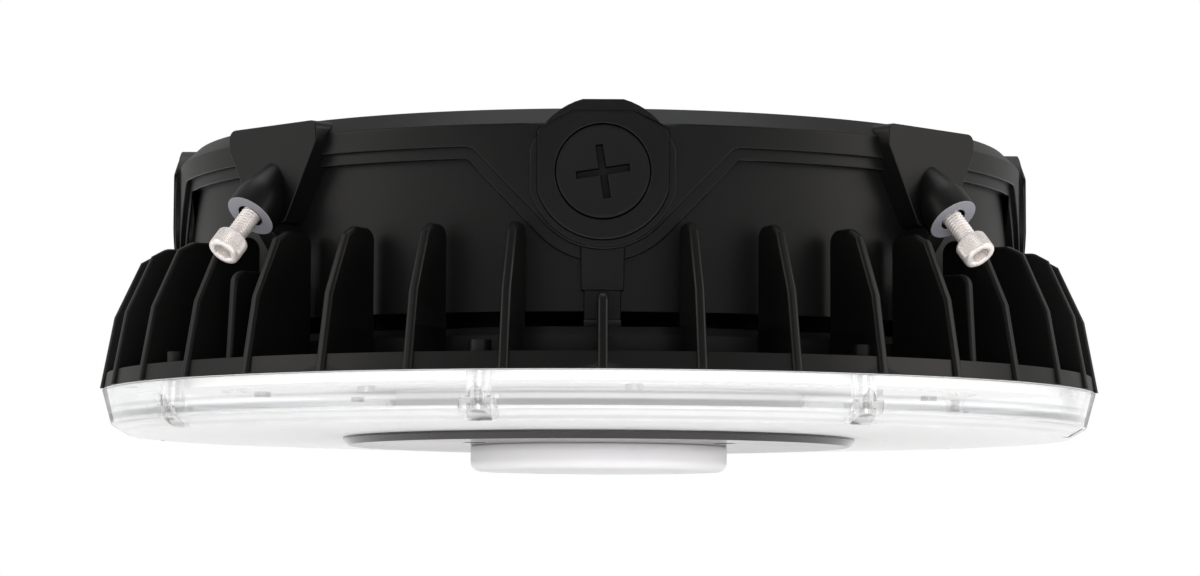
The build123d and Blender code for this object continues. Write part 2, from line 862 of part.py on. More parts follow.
with BuildPart() as terminal_block:
    with BuildSketch(Plane.XY.offset(driver_floor)):
        with Locations((0, terminal_shift)):
            Rectangle(terminal_length - 2 * terminal_ear, terminal_width)
    extrude(amount=terminal_height)
    chamfer(terminal_block.faces().sort_by(Axis.Z)[-1].edges(), terminal_chamfer)
    with BuildSketch(Plane.XY.offset(driver_floor)):
        with Locations((0, terminal_shift)):
            Rectangle(terminal_length, terminal_width - 2 * terminal_foot_in)
    extrude(amount=driver_foot_thick)
    with BuildSketch(Plane.XY.offset(driver_floor)):
        with Locations(*terminal_screw_places):
            Circle(small_screw_radius + drill_clear)
    extrude(amount=driver_foot_thick, mode=Mode.SUBTRACT)
    # wire entries in both long sides
    with BuildSketch(Plane.XZ.offset(-(terminal_shift + terminal_width / 2))):
        with Locations((0, driver_floor + terminal_height / 2)):
            with GridLocations(terminal_pitch, 1, 3, 1):
                Rectangle(terminal_pitch - terminal_rib, terminal_height / 2)
    extrude(amount=terminal_width / 3, mode=Mode.SUBTRACT)
save(terminal_block.part, "terminal_block")

with BuildPart() as terminal_screws:
    with BuildSketch(Plane.XY.offset(driver_floor + driver_foot_thick)):
        with Locations(*terminal_screw_places):
            Circle(terminal_head_radius)
    extrude(amount=small_head_height)
    with BuildSketch(Plane.XY.offset(driver_floor + driver_foot_thick)):
        with Locations(*terminal_screw_places):
            Circle(small_screw_radius)
    extrude(amount=-floor_screw_length)
save(terminal_screws.part, "terminal_screws")

# Light engine under the heat sink's plate

board_top = seam - pad_thick
board_face = board_top - board_thick
screw_sheet_face = board_face - sheet_thick

with BuildPart() as thermal_pad:
    with BuildSketch(Plane.XY.offset(board_top)):
        Circle(board_outer - pad_in)
        Circle(board_inner + pad_in, mode=Mode.SUBTRACT)
        with PolarLocations(board_screw_ring, board_screw_count, start_angle=fin_pitch / 2):
            Circle(board_screw_radius + drill_clear, mode=Mode.SUBTRACT)
    extrude(amount=pad_thick)
save(thermal_pad.part, "thermal_pad")

with BuildPart() as led_board:
    with BuildSketch(Plane.XY.offset(board_face)):
        Circle(board_outer)
        Circle(board_inner, mode=Mode.SUBTRACT)
        with PolarLocations(board_screw_ring, board_screw_count, start_angle=fin_pitch / 2):
            Circle(board_screw_radius + drill_clear, mode=Mode.SUBTRACT)
    extrude(amount=board_thick)
save(led_board.part, "led_board")

chip_count = round(2 * pi * chip_ring / chip_pitch)

with BuildPart() as led_chips:
    with BuildSketch(Plane.XY.offset(board_face)):
        with PolarLocations(chip_ring, chip_count):
            Rectangle(chip_width, chip_length)
    extrude(amount=-chip_height)
save(led_chips.part, "led_chips")

with BuildPart() as reflector_ring:
    with BuildSketch(Plane.XZ):
        with BuildLine():
            Polyline(
                (chip_ring + sheet_gap, board_face),
                (chip_ring + sheet_gap, screw_sheet_face),
                (sheet_outer, screw_sheet_face),
                (sheet_outer, seam),
                (sheet_outer - sheet_thick, seam),
                (sheet_outer - sheet_thick, board_face),
                close=True,
            )
        make_face()
    revolve(axis=Axis.Z)
save(reflector_ring.part, "reflector_ring")

with BuildPart() as reflector_disc:
    with BuildSketch(Plane.XZ):
        with BuildLine():
            Polyline(
                (chip_ring - sheet_gap, board_face),
                (chip_ring - sheet_gap, screw_sheet_face),
                (sheet_inner, screw_sheet_face),
                (sheet_inner, seam),
                (sheet_inner + sheet_thick, seam),
                (sheet_inner + sheet_thick, board_face),
                close=True,
            )
        make_face()
    revolve(axis=Axis.Z)
    with BuildSketch(Plane.XY.offset(screw_sheet_face)):
        with PolarLocations(board_screw_ring, board_screw_count, start_angle=fin_pitch / 2):
            Circle(board_screw_radius + drill_clear)
    extrude(amount=sheet_thick, mode=Mode.SUBTRACT)
save(reflector_disc.part, "reflector_disc")

with BuildPart() as board_screws:
    with BuildSketch(Plane.XY.offset(screw_sheet_face)):
        with PolarLocations(board_screw_ring, board_screw_count, start_angle=fin_pitch / 2):
            Circle(board_screw_head)
    extrude(amount=-board_screw_head_height)
    with BuildSketch(Plane.XY.offset(screw_sheet_face)):
        with PolarLocations(board_screw_ring, board_screw_count, start_angle=fin_pitch / 2):
            Circle(board_screw_radius)
    extrude(amount=sheet_thick + board_thick + pad_thick + board_screw_length)
save(board_screws.part, "board_screws")

# Lens, its seals and its screws

lens_top = seam - touch_gap
lens_floor = lens_bottom + lens_wall
head_seat = lens_bottom + lens_head_up


def lens_outline():
    """Outer outline of the dish, from its axis to the seam."""
    return [
        (0, lens_bottom),
        (lens_radius - lens_bevel_in, lens_bottom),
        (lens_radius - lens_side_in, seam - lens_side_height),
        (lens_radius, lens_top),
    ]


with BuildPart() as tubes:
    with BuildSketch(Plane.XY.offset(lens_bottom)):
        with Locations(*lens_screw_places()):
            Circle(tube_radius)
    extrude(amount=lens_depth)
    with BuildSketch(Plane.XY.offset(lens_bottom)):
        with Locations(*lens_screw_places()):
            Circle(tube_foot_radius)
    extrude(amount=lens_head_up + tube_foot_height)
    with BuildSketch(Plane.XZ):
        Polygon(*lens_outline(), (lens_radius, seam), (0, seam), align=None)
    revolve(axis=Axis.Z, mode=Mode.INTERSECT)
screw_tubes = tubes.part

with BuildPart() as lens:
    with BuildSketch(Plane.XZ):
        Polygon(
            *lens_outline()[1:],
            (lens_radius - lens_wall, lens_top),
            (lens_radius - lens_side_in - lens_wall, seam - lens_side_height + lens_wall / 2),
            (lens_radius - lens_bevel_in - lens_wall / 2, lens_floor),
            (lens_hole, lens_floor),
            (lens_hole, lens_bottom),
            align=None,
        )
    revolve(axis=Axis.Z)
    add(screw_tubes)
    with BuildSketch(Plane.XY.offset(lens_bottom)):
        with Locations(*lens_screw_places()):
            Circle(lens_head_radius + drill_clear)
    extrude(amount=lens_head_up, mode=Mode.SUBTRACT)
    with BuildSketch(Plane.XY.offset(lens_bottom)):
        with Locations(*lens_screw_places()):
            Circle(tube_bore)
    extrude(amount=lens_depth, mode=Mode.SUBTRACT)
save(lens.part, "lens")

with BuildPart() as lens_gasket:
    with BuildSketch(Plane.XY.offset(lens_top)):
        Circle(flange_radius - seal_in - seal_fit)
        Circle(flange_radius - seal_in - seal_width + seal_fit, mode=Mode.SUBTRACT)
    extrude(amount=touch_gap + seal_sink)
save(lens_gasket.part, "lens_gasket")

with BuildPart() as centre_gasket:
    with BuildSketch(Plane.XY.offset(lens_floor)):
        Circle(post_radius)
        Circle(lens_hole, mode=Mode.SUBTRACT)
    extrude(amount=gasket_thick)
save(centre_gasket.part, "centre_gasket")

with BuildPart() as lens_screws:
    with BuildSketch(Plane.XY.offset(head_seat)):
        with Locations(*lens_screw_places()):
            Circle(lens_head_radius)
    extrude(amount=-lens_head_height)
    chamfer(lens_screws.faces().sort_by(Axis.Z)[:len(lens_screw_places())].edges(), lens_head_chamfer)
    with BuildSketch(Plane.XY.offset(head_seat - lens_head_height)):
        with Locations(*lens_screw_places()):
            RegularPolygon(lens_socket, 6)
    extrude(amount=lens_socket_depth, mode=Mode.SUBTRACT)
    with BuildSketch(Plane.XY.offset(head_seat)):
        with Locations(*lens_screw_places()):
            Circle(lens_screw_radius)
    extrude(amount=seam + lens_screw_reach - head_seat)
save(lens_screws.part, "lens_screws")

# Centre plate and sensor

with BuildPart() as centre_plate:
    with BuildSketch(Plane.XZ):
        Polygon(
            (plate_hole, lens_bottom),
            (plate_radius, lens_bottom),
            (plate_radius, lens_bottom - plate_edge),
            (plate_radius - plate_chamfer, plate_bottom),
            (plate_hole, plate_bottom),
            align=None,
        )
    revolve(axis=Axis.Z)
    with Locations(Plane.XY.offset(plate_bottom).rotated((180, 0, 0))):
        with PolarLocations(plate_screw_ring, plate_screw_count, start_angle=plate_screw_start):
            CounterSinkHole(small_screw_radius + drill_clear, small_head_radius + drill_clear,
                            depth=plate_thick)
save(centre_plate.part, "centre_plate")

with BuildPart() as centre_plate_screws:
    with Locations(Plane.XY.offset(plate_bottom + head_sink)):
        with PolarLocations(plate_screw_ring, plate_screw_count, start_angle=plate_screw_start):
            Cone(small_head_radius, small_screw_radius, small_head_radius - small_screw_radius,
                 align=(Align.CENTER, Align.CENTER, Align.MIN))
    with BuildSketch(Plane.XY.offset(plate_bottom + head_sink + small_head_radius - small_screw_radius)):
        with PolarLocations(plate_screw_ring, plate_screw_count, start_angle=plate_screw_start):
            Circle(small_screw_radius)
    extrude(amount=plate_thick + small_length - small_head_radius + small_screw_radius)
save(centre_plate_screws.part, "centre_plate_screws")

base_bottom = plate_bottom - sensor_base_thick
sensor_board_top = base_bottom - sensor_board_up
with BuildPart() as sensor_base:
    with BuildSketch(Plane.XY.offset(plate_bottom)):
        Circle(puck_radius - puck_wall - sensor_fit)
        Circle(sensor_base_hole, mode=Mode.SUBTRACT)
    extrude(amount=-sensor_base_thick)
    with BuildSketch(Plane.XY.offset(base_bottom)):
        with PolarLocations(sensor_post_ring, sensor_post_count):
            Circle(sensor_post_radius)
    extrude(amount=-sensor_board_up)
save(sensor_base.part, "sensor_base")

with BuildPart() as sensor_board:
    with BuildSketch(Plane.XY.offset(sensor_board_top)):
        Circle(sensor_board_radius)
    extrude(amount=-sensor_board_thick)
    with BuildSketch(Plane.XY.offset(sensor_board_top)):
        Rectangle(sensor_chip, sensor_chip)
    extrude(amount=sensor_chip_up)
save(sensor_board.part, "sensor_board")

with BuildPart() as sensor_cover:
    with BuildSketch(Plane.XY.offset(plate_bottom)):
        Circle(puck_radius)
    extrude(amount=-puck_height)
    fillet(sensor_cover.faces().sort_by(Axis.Z)[0].edges(), puck_round)
    with BuildSketch(Plane.XY.offset(plate_bottom)):
        Circle(puck_radius - puck_wall)
    extrude(amount=-(puck_height - puck_wall), mode=Mode.SUBTRACT)
save(sensor_cover.part, "sensor_cover")

# Clamp bolts, each a body of its own that slides in along its slanted axis

with BuildPart() as bolt:
    with BuildSketch(bolt_line.offset(bolt_out)):
        Circle(bolt_head_radius)
    extrude(amount=bolt_head_height)
    chamfer(bolt.edges().sort_by(Axis(bolt_line.origin, bolt_line.z_dir))[-1], bolt_head_chamfer)
    with BuildSketch(bolt_line.offset(bolt_out + bolt_head_height)):
        RegularPolygon(bolt_socket / 2, 6, major_radius=False)
    extrude(amount=-bolt_socket_depth, mode=Mode.SUBTRACT)
    with BuildSketch(bolt_line.offset(bolt_out)):
        Circle(bolt_radius)
    extrude(amount=-bolt_length)
    chamfer(bolt.edges().sort_by(Axis(bolt_line.origin, bolt_line.z_dir))[0], bolt_tip_chamfer)
one_bolt = bolt.part

for name, turn in ear_turns.items():
    with BuildPart() as clamp_bolt:
        with PolarLocations(0, 1, start_angle=turn):
            add(one_bolt)
    save(clamp_bolt.part, f"clamp_bolt_{name}")

# Conduit plugs, each a body of its own that comes out along the conduit

with BuildPart() as plug_blank:
    with BuildSketch(Plane.YZ.offset(hub_face)):
        with Locations((0, hub_axis)):
            Circle(plug_radius)
    extrude(amount=-(plug_head - plug_seat_gap))
    with BuildSketch(Plane.YZ.offset(hub_face - plug_head + plug_seat_gap)):
        with Locations((0, hub_axis)):
            Circle(plug_thread_radius)
    extrude(amount=-(plug_length - plug_head))
    with BuildSketch(Plane.YZ.offset(hub_face)):
        with Locations((0, hub_axis)):
            Rectangle(slot_length, slot_width, rotation=slot_turn)
            Rectangle(slot_width, slot_length, rotation=slot_turn)
    extrude(amount=-slot_depth, mode=Mode.SUBTRACT)
one_plug = plug_blank.part

for name, turn in hub_turns.items():
    with BuildPart() as conduit_plug:
        with PolarLocations(0, 1, start_angle=turn):
            add(one_plug)
    save(conduit_plug.part, f"conduit_plug_{name}")
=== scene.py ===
import json
import math

import bmesh
import bpy
import numpy as np
from mathutils import Matrix, Vector


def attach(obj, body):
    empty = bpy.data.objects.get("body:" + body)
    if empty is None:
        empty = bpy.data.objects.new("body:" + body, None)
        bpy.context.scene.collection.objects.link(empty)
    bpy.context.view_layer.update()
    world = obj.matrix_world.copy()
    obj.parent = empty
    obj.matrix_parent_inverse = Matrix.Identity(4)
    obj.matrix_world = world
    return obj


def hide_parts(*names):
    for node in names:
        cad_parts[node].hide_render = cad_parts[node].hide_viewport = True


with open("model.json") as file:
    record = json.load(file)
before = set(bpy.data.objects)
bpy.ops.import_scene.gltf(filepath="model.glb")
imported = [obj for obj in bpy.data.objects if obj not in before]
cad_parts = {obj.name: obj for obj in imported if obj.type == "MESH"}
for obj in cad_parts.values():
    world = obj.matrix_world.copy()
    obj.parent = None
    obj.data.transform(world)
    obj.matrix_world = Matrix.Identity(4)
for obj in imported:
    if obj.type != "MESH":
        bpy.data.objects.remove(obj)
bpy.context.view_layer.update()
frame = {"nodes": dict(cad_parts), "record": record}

# LED canopy light, looks and details. The scene is in metres with the ceiling at z = 0;
# the sizes of pieces are written in millimetres.
mm = 0.001

# heights and rings that several pieces share, as the solids have them
stack = {
    "seam": -79.3,
    "plateBottom": -96.2,
    "hubAxis": -21.9,
    "hubFace": 137.1,
}
earTurns = {"front_right": -45.0, "back_right": 45.0, "back_left": 135.0, "front_left": -135.0}
hubTurns = {"front": -90.0, "right": 0.0, "back": 90.0, "left": 180.0}


cameraSet = {
    "place": (-6.8 * mm, -1060.75 * mm, -129.6 * mm),
    "yawDeg": 0.367,        # turned this far towards +X
    "pitchDeg": 4.595,      # looks up
    "rollDeg": 0.258,
    "lens": 97.74,
    "sensor": 36.0,
    "shiftX": 0.0005,
    "near": 0.01,
    "far": 30,
}

lampSet = {
    "frontLevel": 0.28,     # soft light from in front
    "sideLevel": 1.35,      # from the left and the right
    "sidePower": 1.6,
    "backLevel": 0.8,       # more of it from behind
    "upLevel": 0.20,        # more of it from above
    "mirroredShare": 0.34,  # how much of it reflections show
    "skyTint": (1.0, 0.985, 0.97),
    "lamps": [
        # name, place, aimed at, size, watts, tint, whether reflections show it
        ("softLeft", (-2.0, -0.7, 0.9), (0, 0, -0.05), 1.4, 8, (1.0, 0.97, 0.93), True),
        ("softRight", (2.0, -0.5, 0.8), (0, 0, -0.05), 1.4, 9, (1.0, 0.96, 0.91), True),
        ("softTop", (0.0, 0.6, 2.2), (0, 0, -0.05), 1.8, 9, (0.95, 0.98, 1.0), True),
        ("frontFill", (0.3, -2.5, 0.12), (0, 0, -0.09), 1.6, 80, (1.0, 0.985, 1.0), False),
    ],
}

floorSet = {
    "height": -0.160,
    "size": 3.0,
    "shadowReach": 0.45,    # the shadow shows this far out, then the floor turns plain
    "plainFrom": 0.95,
    "glow": 0.80,           # share of plain white under the light
    "grey": 0.86,
}


def putCamera(values):
    data = bpy.data.cameras.new("photoCamera")
    data.lens = values["lens"]
    data.sensor_width = values["sensor"]
    data.sensor_fit = "HORIZONTAL"
    data.shift_x = values["shiftX"]
    data.clip_start = values["near"]
    data.clip_end = values["far"]
    camera = bpy.data.objects.new("photoCamera", data)
    bpy.context.scene.collection.objects.link(camera)
    turn = (Matrix.Rotation(-math.radians(values["yawDeg"]), 4, "Z")
            @ Matrix.Rotation(math.radians(90 + values["pitchDeg"]), 4, "X")
            @ Matrix.Rotation(math.radians(values["rollDeg"]), 4, "Z"))
    camera.matrix_world = Matrix.Translation(values["place"]) @ turn
    bpy.context.scene.camera = camera


# factor 1 where one of the named kinds of ray looks, else 0
def raysOf(tree, *kinds):
    path = tree.nodes.new("ShaderNodeLightPath")
    result = path.outputs[kinds[0]]
    for kind in kinds[1:]:
        larger = tree.nodes.new("ShaderNodeMath")
        larger.operation = "MAXIMUM"
        tree.links.new(result, larger.inputs[0])
        tree.links.new(path.outputs[kind], larger.inputs[1])
        result = larger.outputs[0]
    return result


def mathNode(tree, operation, first, second=None):
    node = tree.nodes.new("ShaderNodeMath")
    node.operation = operation
    for socket, value in zip(node.inputs, (first, second)):
        if isinstance(value, (int, float)):
            socket.default_value = value
        elif value is not None:
            tree.links.new(value, socket)
    return node.outputs[0]


def putSky(values):
    world = bpy.data.worlds.new("studioSky")
    world.use_nodes = True
    tree = world.node_tree
    tree.nodes.clear()
    out = tree.nodes.new("ShaderNodeOutputWorld")
    soft = tree.nodes.new("ShaderNodeBackground")
    soft.inputs["Color"].default_value = (*values["skyTint"], 1)
    # level = front + (side - front) * |x| ^ power + up * max(z, 0) + back * max(y, 0),
    # for the direction looked in
    coords = tree.nodes.new("ShaderNodeTexCoord")
    parts = tree.nodes.new("ShaderNodeSeparateXYZ")
    tree.links.new(coords.outputs["Generated"], parts.inputs[0])
    sideways = mathNode(tree, "ABSOLUTE", parts.outputs["X"])
    sideways = mathNode(tree, "POWER", sideways, values["sidePower"])
    level = mathNode(tree, "MULTIPLY", sideways, values["sideLevel"] - values["frontLevel"])
    level = mathNode(tree, "ADD", level, values["frontLevel"])
    for axis, share in (("Z", "upLevel"), ("Y", "backLevel")):
        towards = mathNode(tree, "MAXIMUM", parts.outputs[axis], 0.0)
        level = mathNode(tree, "ADD", level, mathNode(tree, "MULTIPLY", towards, values[share]))
    # level for glossy rays = level * mirrored share
    less = mathNode(tree, "MULTIPLY", raysOf(tree, "Is Glossy Ray"), values["mirroredShare"] - 1)
    level = mathNode(tree, "MULTIPLY", level, mathNode(tree, "ADD", less, 1.0))
    tree.links.new(level, soft.inputs["Strength"])
    white = tree.nodes.new("ShaderNodeBackground")
    white.inputs["Color"].default_value = (1, 1, 1, 1)
    white.inputs["Strength"].default_value = 1.0
    mix = tree.nodes.new("ShaderNodeMixShader")
    tree.links.new(raysOf(tree, "Is Camera Ray", "Is Transmission Ray"), mix.inputs[0])
    tree.links.new(soft.outputs[0], mix.inputs[1])
    tree.links.new(white.outputs[0], mix.inputs[2])
    tree.links.new(mix.outputs[0], out.inputs["Surface"])
    bpy.context.scene.world = world


def putLamps(values):
    for name, place, aim, size, watts, tint, mirrored in values["lamps"]:
        data = bpy.data.lights.new(name, "AREA")
        data.shape = "DISK"
        data.size = size
        data.energy = watts
        data.color = tint
        lamp = bpy.data.objects.new(name, data)
        bpy.context.scene.collection.objects.link(lamp)
        lamp.location = place
        lamp.rotation_euler = (Vector(aim) - Vector(place)).to_track_quat("-Z", "Y").to_euler()
        lamp.visible_camera = False
        lamp.visible_glossy = mirrored


# a flat square floor, shaded where the light hangs over it and plain white further out
def putFloor(values):
    half = values["size"]
    mesh = bpy.data.meshes.new("paleFloor")
    corners = [(-half, -half, values["height"]), (half, -half, values["height"]),
               (half, half, values["height"]), (-half, half, values["height"])]
    mesh.from_pydata(corners, [], [(0, 1, 2, 3)])
    floor = bpy.data.objects.new("paleFloor", mesh)
    bpy.context.scene.collection.objects.link(floor)
    mat = bpy.data.materials.new("paleFloor")
    mat.use_nodes = True
    tree = mat.node_tree
    tree.nodes.clear()
    out = tree.nodes.new("ShaderNodeOutputMaterial")
    matte = tree.nodes.new("ShaderNodeBsdfDiffuse")
    matte.inputs["Color"].default_value = (values["grey"], values["grey"], values["grey"], 1)
    glow = tree.nodes.new("ShaderNodeEmission")
    glow.inputs["Color"].default_value = (1, 1, 1, 1)
    glow.inputs["Strength"].default_value = 1.0
    coords = tree.nodes.new("ShaderNodeTexCoord")
    length = tree.nodes.new("ShaderNodeVectorMath")
    length.operation = "LENGTH"
    tree.links.new(coords.outputs["Object"], length.inputs[0])
    fade = tree.nodes.new("ShaderNodeMapRange")
    fade.interpolation_type = "SMOOTHSTEP"
    fade.inputs["From Min"].default_value = values["shadowReach"]
    fade.inputs["From Max"].default_value = values["plainFrom"]
    fade.inputs["To Min"].default_value = values["glow"]
    fade.inputs["To Max"].default_value = 1.0
    tree.links.new(length.outputs["Value"], fade.inputs["Value"])
    seen = raysOf(tree, "Is Camera Ray", "Is Glossy Ray", "Is Transmission Ray")
    mix = tree.nodes.new("ShaderNodeMixShader")
    tree.links.new(mathNode(tree, "MULTIPLY", seen, fade.outputs["Result"]), mix.inputs[0])
    tree.links.new(matte.outputs[0], mix.inputs[1])
    tree.links.new(glow.outputs[0], mix.inputs[2])
    tree.links.new(mix.outputs[0], out.inputs["Surface"])
    mesh.materials.append(mat)


bpy.context.scene.view_settings.view_transform = "Standard"
putCamera(cameraSet)
putSky(lampSet)
putLamps(lampSet)
putFloor(floorSet)
print("camera, lamps and floor are in place")


# a node with its plain inputs set by name or number
def addNode(tree, kind, inputs=None, **settings):
    node = tree.nodes.new(kind)
    for key, value in settings.items():
        setattr(node, key, value)
    for key, value in (inputs or {}).items():
        node.inputs[key].default_value = value
    return node


def startMaterial(name, values):
    mat = bpy.data.materials.new(name)
    mat.use_nodes = True
    tree = mat.node_tree
    tree.nodes.clear()
    out = tree.nodes.new("ShaderNodeOutputMaterial")
    shader = tree.nodes.new("ShaderNodeBsdfPrincipled")
    for key, value in values.items():
        shader.inputs[key].default_value = value
    tree.links.new(shader.outputs[0], out.inputs["Surface"])
    return mat, tree, shader


def feed(tree, shader, socket, source):
    tree.links.new(source, shader.inputs[socket])


# noise, or cells with a colour each, on object coordinates stretched by (x, y, z);
# scale is in waves per metre
def objectNoise(tree, scale, detail=3.0, stretch=(1, 1, 1), kind="noise"):
    coords = tree.nodes.new("ShaderNodeTexCoord")
    place = addNode(tree, "ShaderNodeMapping", {"Scale": stretch})
    tree.links.new(coords.outputs["Object"], place.inputs["Vector"])
    if kind == "noise":
        node = addNode(tree, "ShaderNodeTexNoise", {"Scale": scale, "Detail": detail, "Roughness": 0.55})
        result = node.outputs["Fac"]
    else:
        node = addNode(tree, "ShaderNodeTexVoronoi", {"Scale": scale})
        result = node.outputs["Color"]
    tree.links.new(place.outputs["Vector"], node.inputs["Vector"])
    return result


# from one colour to the other between two places of the source
def ramp(tree, source, dark, light, start=0.3, end=0.7):
    node = tree.nodes.new("ShaderNodeValToRGB")
    for element, (at, colour) in zip(node.color_ramp.elements, ((start, dark), (end, light))):
        element.position = at
        element.color = (*colour, 1)
    tree.links.new(source, node.inputs["Fac"])
    return node.outputs["Color"]


# the middle half of the source carried to low .. high
def spread(tree, source, low, high):
    node = addNode(tree, "ShaderNodeMapRange", {"From Min": 0.25, "From Max": 0.75,
                                                "To Min": low, "To Max": high})
    tree.links.new(source, node.inputs["Value"])
    return node.outputs["Result"]


def bump(tree, shader, source, strength, depth, under=None):
    node = addNode(tree, "ShaderNodeBump", {"Strength": strength, "Distance": depth})
    tree.links.new(source, node.inputs["Height"])
    if under is not None:
        tree.links.new(under, node.inputs["Normal"])
    tree.links.new(node.outputs["Normal"], shader.inputs["Normal"])
    return node.outputs["Normal"]


# finishes, one line each: what a user would change first
finish = {
    "coatDark": (0.0016, 0.0015, 0.0015),
    "coatLight": (0.0026, 0.0024, 0.0023),
    "coatRough": (0.34, 0.44),
    "coatShine": 0.36,
    "plugDark": (0.0012, 0.0012, 0.0012),
    "plugLight": (0.0020, 0.0020, 0.0019),
    "steel": (0.90, 0.85, 0.82),
    "zinc": (0.62, 0.63, 0.64),
    "sheet": (0.91, 0.91, 0.90),
    "board": (0.82, 0.83, 0.82),
    "lens": (0.965, 0.975, 0.985),
    "lensRough": (0.005, 0.03),
    "lensFlatRough": 0.34,      # the flat underside is lightly frosted
    "lensClear": (0.86, 0.50),  # how much light goes through the side and through the flat
    # lines of shade on the side of the lens: height, half width, dark share
    "lensLines": [(-85.7, 0.15, 0.40), (-88.5, 0.80, 0.60), (-92.6, 0.25, 0.45)],
    "plate": (0.022, 0.020, 0.021),
    "milk": (0.93, 0.925, 0.945),
    "phosphor": (0.94, 0.56, 0.20),
}


coatSet = {"speckle": 2600, "broad": 22, "peel": 1500, "speckleShare": 0.45, "peelDepth": 0.00012}


# satin powder coat: fine orange peel, faint speckle, a little dust in the roughness
# tone = share * speckle + (1 - share) * broad noise
def coatFinish(name, dark, light, rough, shine):
    mat, tree, shader = startMaterial(name, {"Specular IOR Level": shine})
    speckle = objectNoise(tree, coatSet["speckle"], detail=2)
    broad = objectNoise(tree, coatSet["broad"], detail=4)
    share, depth = coatSet["speckleShare"], coatSet["peelDepth"]
    tone = mathNode(tree, "ADD", mathNode(tree, "MULTIPLY", speckle, share),
                    mathNode(tree, "MULTIPLY", broad, 1 - share))
    feed(tree, shader, "Base Color", ramp(tree, tone, dark, light, 0.35, 0.65))
    feed(tree, shader, "Roughness", spread(tree, broad, *rough))
    first = bump(tree, shader, objectNoise(tree, coatSet["peel"], detail=1.5), 0.16, depth)
    bump(tree, shader, speckle, 0.06, depth / 3, under=first)
    return mat


def dulled(colour, share):
    return tuple(c * share for c in colour)


# turned or rolled metal: fine lines along one axis and cloudy roughness
def metalFinish(name, colour, rough, lines=(1, 1, 14), scale=900, strength=0.10, metal=1.0):
    mat, tree, shader = startMaterial(name, {"Metallic": metal})
    cloud = objectNoise(tree, 160, detail=4)
    feed(tree, shader, "Base Color", ramp(tree, cloud, dulled(colour, 0.78), colour))
    feed(tree, shader, "Roughness", spread(tree, cloud, *rough))
    bump(tree, shader, objectNoise(tree, scale, detail=2, stretch=lines), strength, 0.00004)
    return mat


# rolled zinc sheet: spangles as large cells with a colour each
def zincFinish(name, colour):
    mat, tree, shader = startMaterial(name, {"Metallic": 1.0})
    cells = objectNoise(tree, 120, kind="colours")
    tone = addNode(tree, "ShaderNodeSeparateColor")
    tree.links.new(cells, tone.inputs[0])
    feed(tree, shader, "Base Color", ramp(tree, tone.outputs[0], dulled(colour, 0.74), colour, 0.0, 1.0))
    feed(tree, shader, "Roughness", spread(tree, tone.outputs[1], 0.30, 0.46))
    bump(tree, shader, objectNoise(tree, 1400, detail=3), 0.05, 0.00004)
    return mat


# moulded plastic, rubber, painted board: grain at one size, two close tones
def mouldedFinish(name, dark, light, rough, grain=1800, strength=0.12, shine=0.5):
    mat, tree, shader = startMaterial(name, {"Specular IOR Level": shine})
    cloud = objectNoise(tree, 60, detail=4)
    feed(tree, shader, "Base Color", ramp(tree, cloud, dark, light))
    feed(tree, shader, "Roughness", spread(tree, cloud, *rough))
    bump(tree, shader, objectNoise(tree, grain, detail=2), strength, 0.00006)
    return mat


# white board with faint copper tracks under the paint, as rings round the light's axis
def boardFinish(name, colour):
    mat, tree, shader = startMaterial(name, {"Specular IOR Level": 0.4})
    coords = tree.nodes.new("ShaderNodeTexCoord")
    rings = addNode(tree, "ShaderNodeTexWave", {"Scale": 55.0, "Distortion": 0.0},
                    wave_type="RINGS", rings_direction="Z")
    tree.links.new(coords.outputs["Object"], rings.inputs["Vector"])
    tone = ramp(tree, rings.outputs["Fac"], dulled(colour, 0.93), colour, 0.44, 0.5)
    feed(tree, shader, "Base Color", tone)
    feed(tree, shader, "Roughness", spread(tree, objectNoise(tree, 300), 0.35, 0.5))
    bump(tree, shader, rings.outputs["Fac"], 0.15, 0.00005)
    return mat


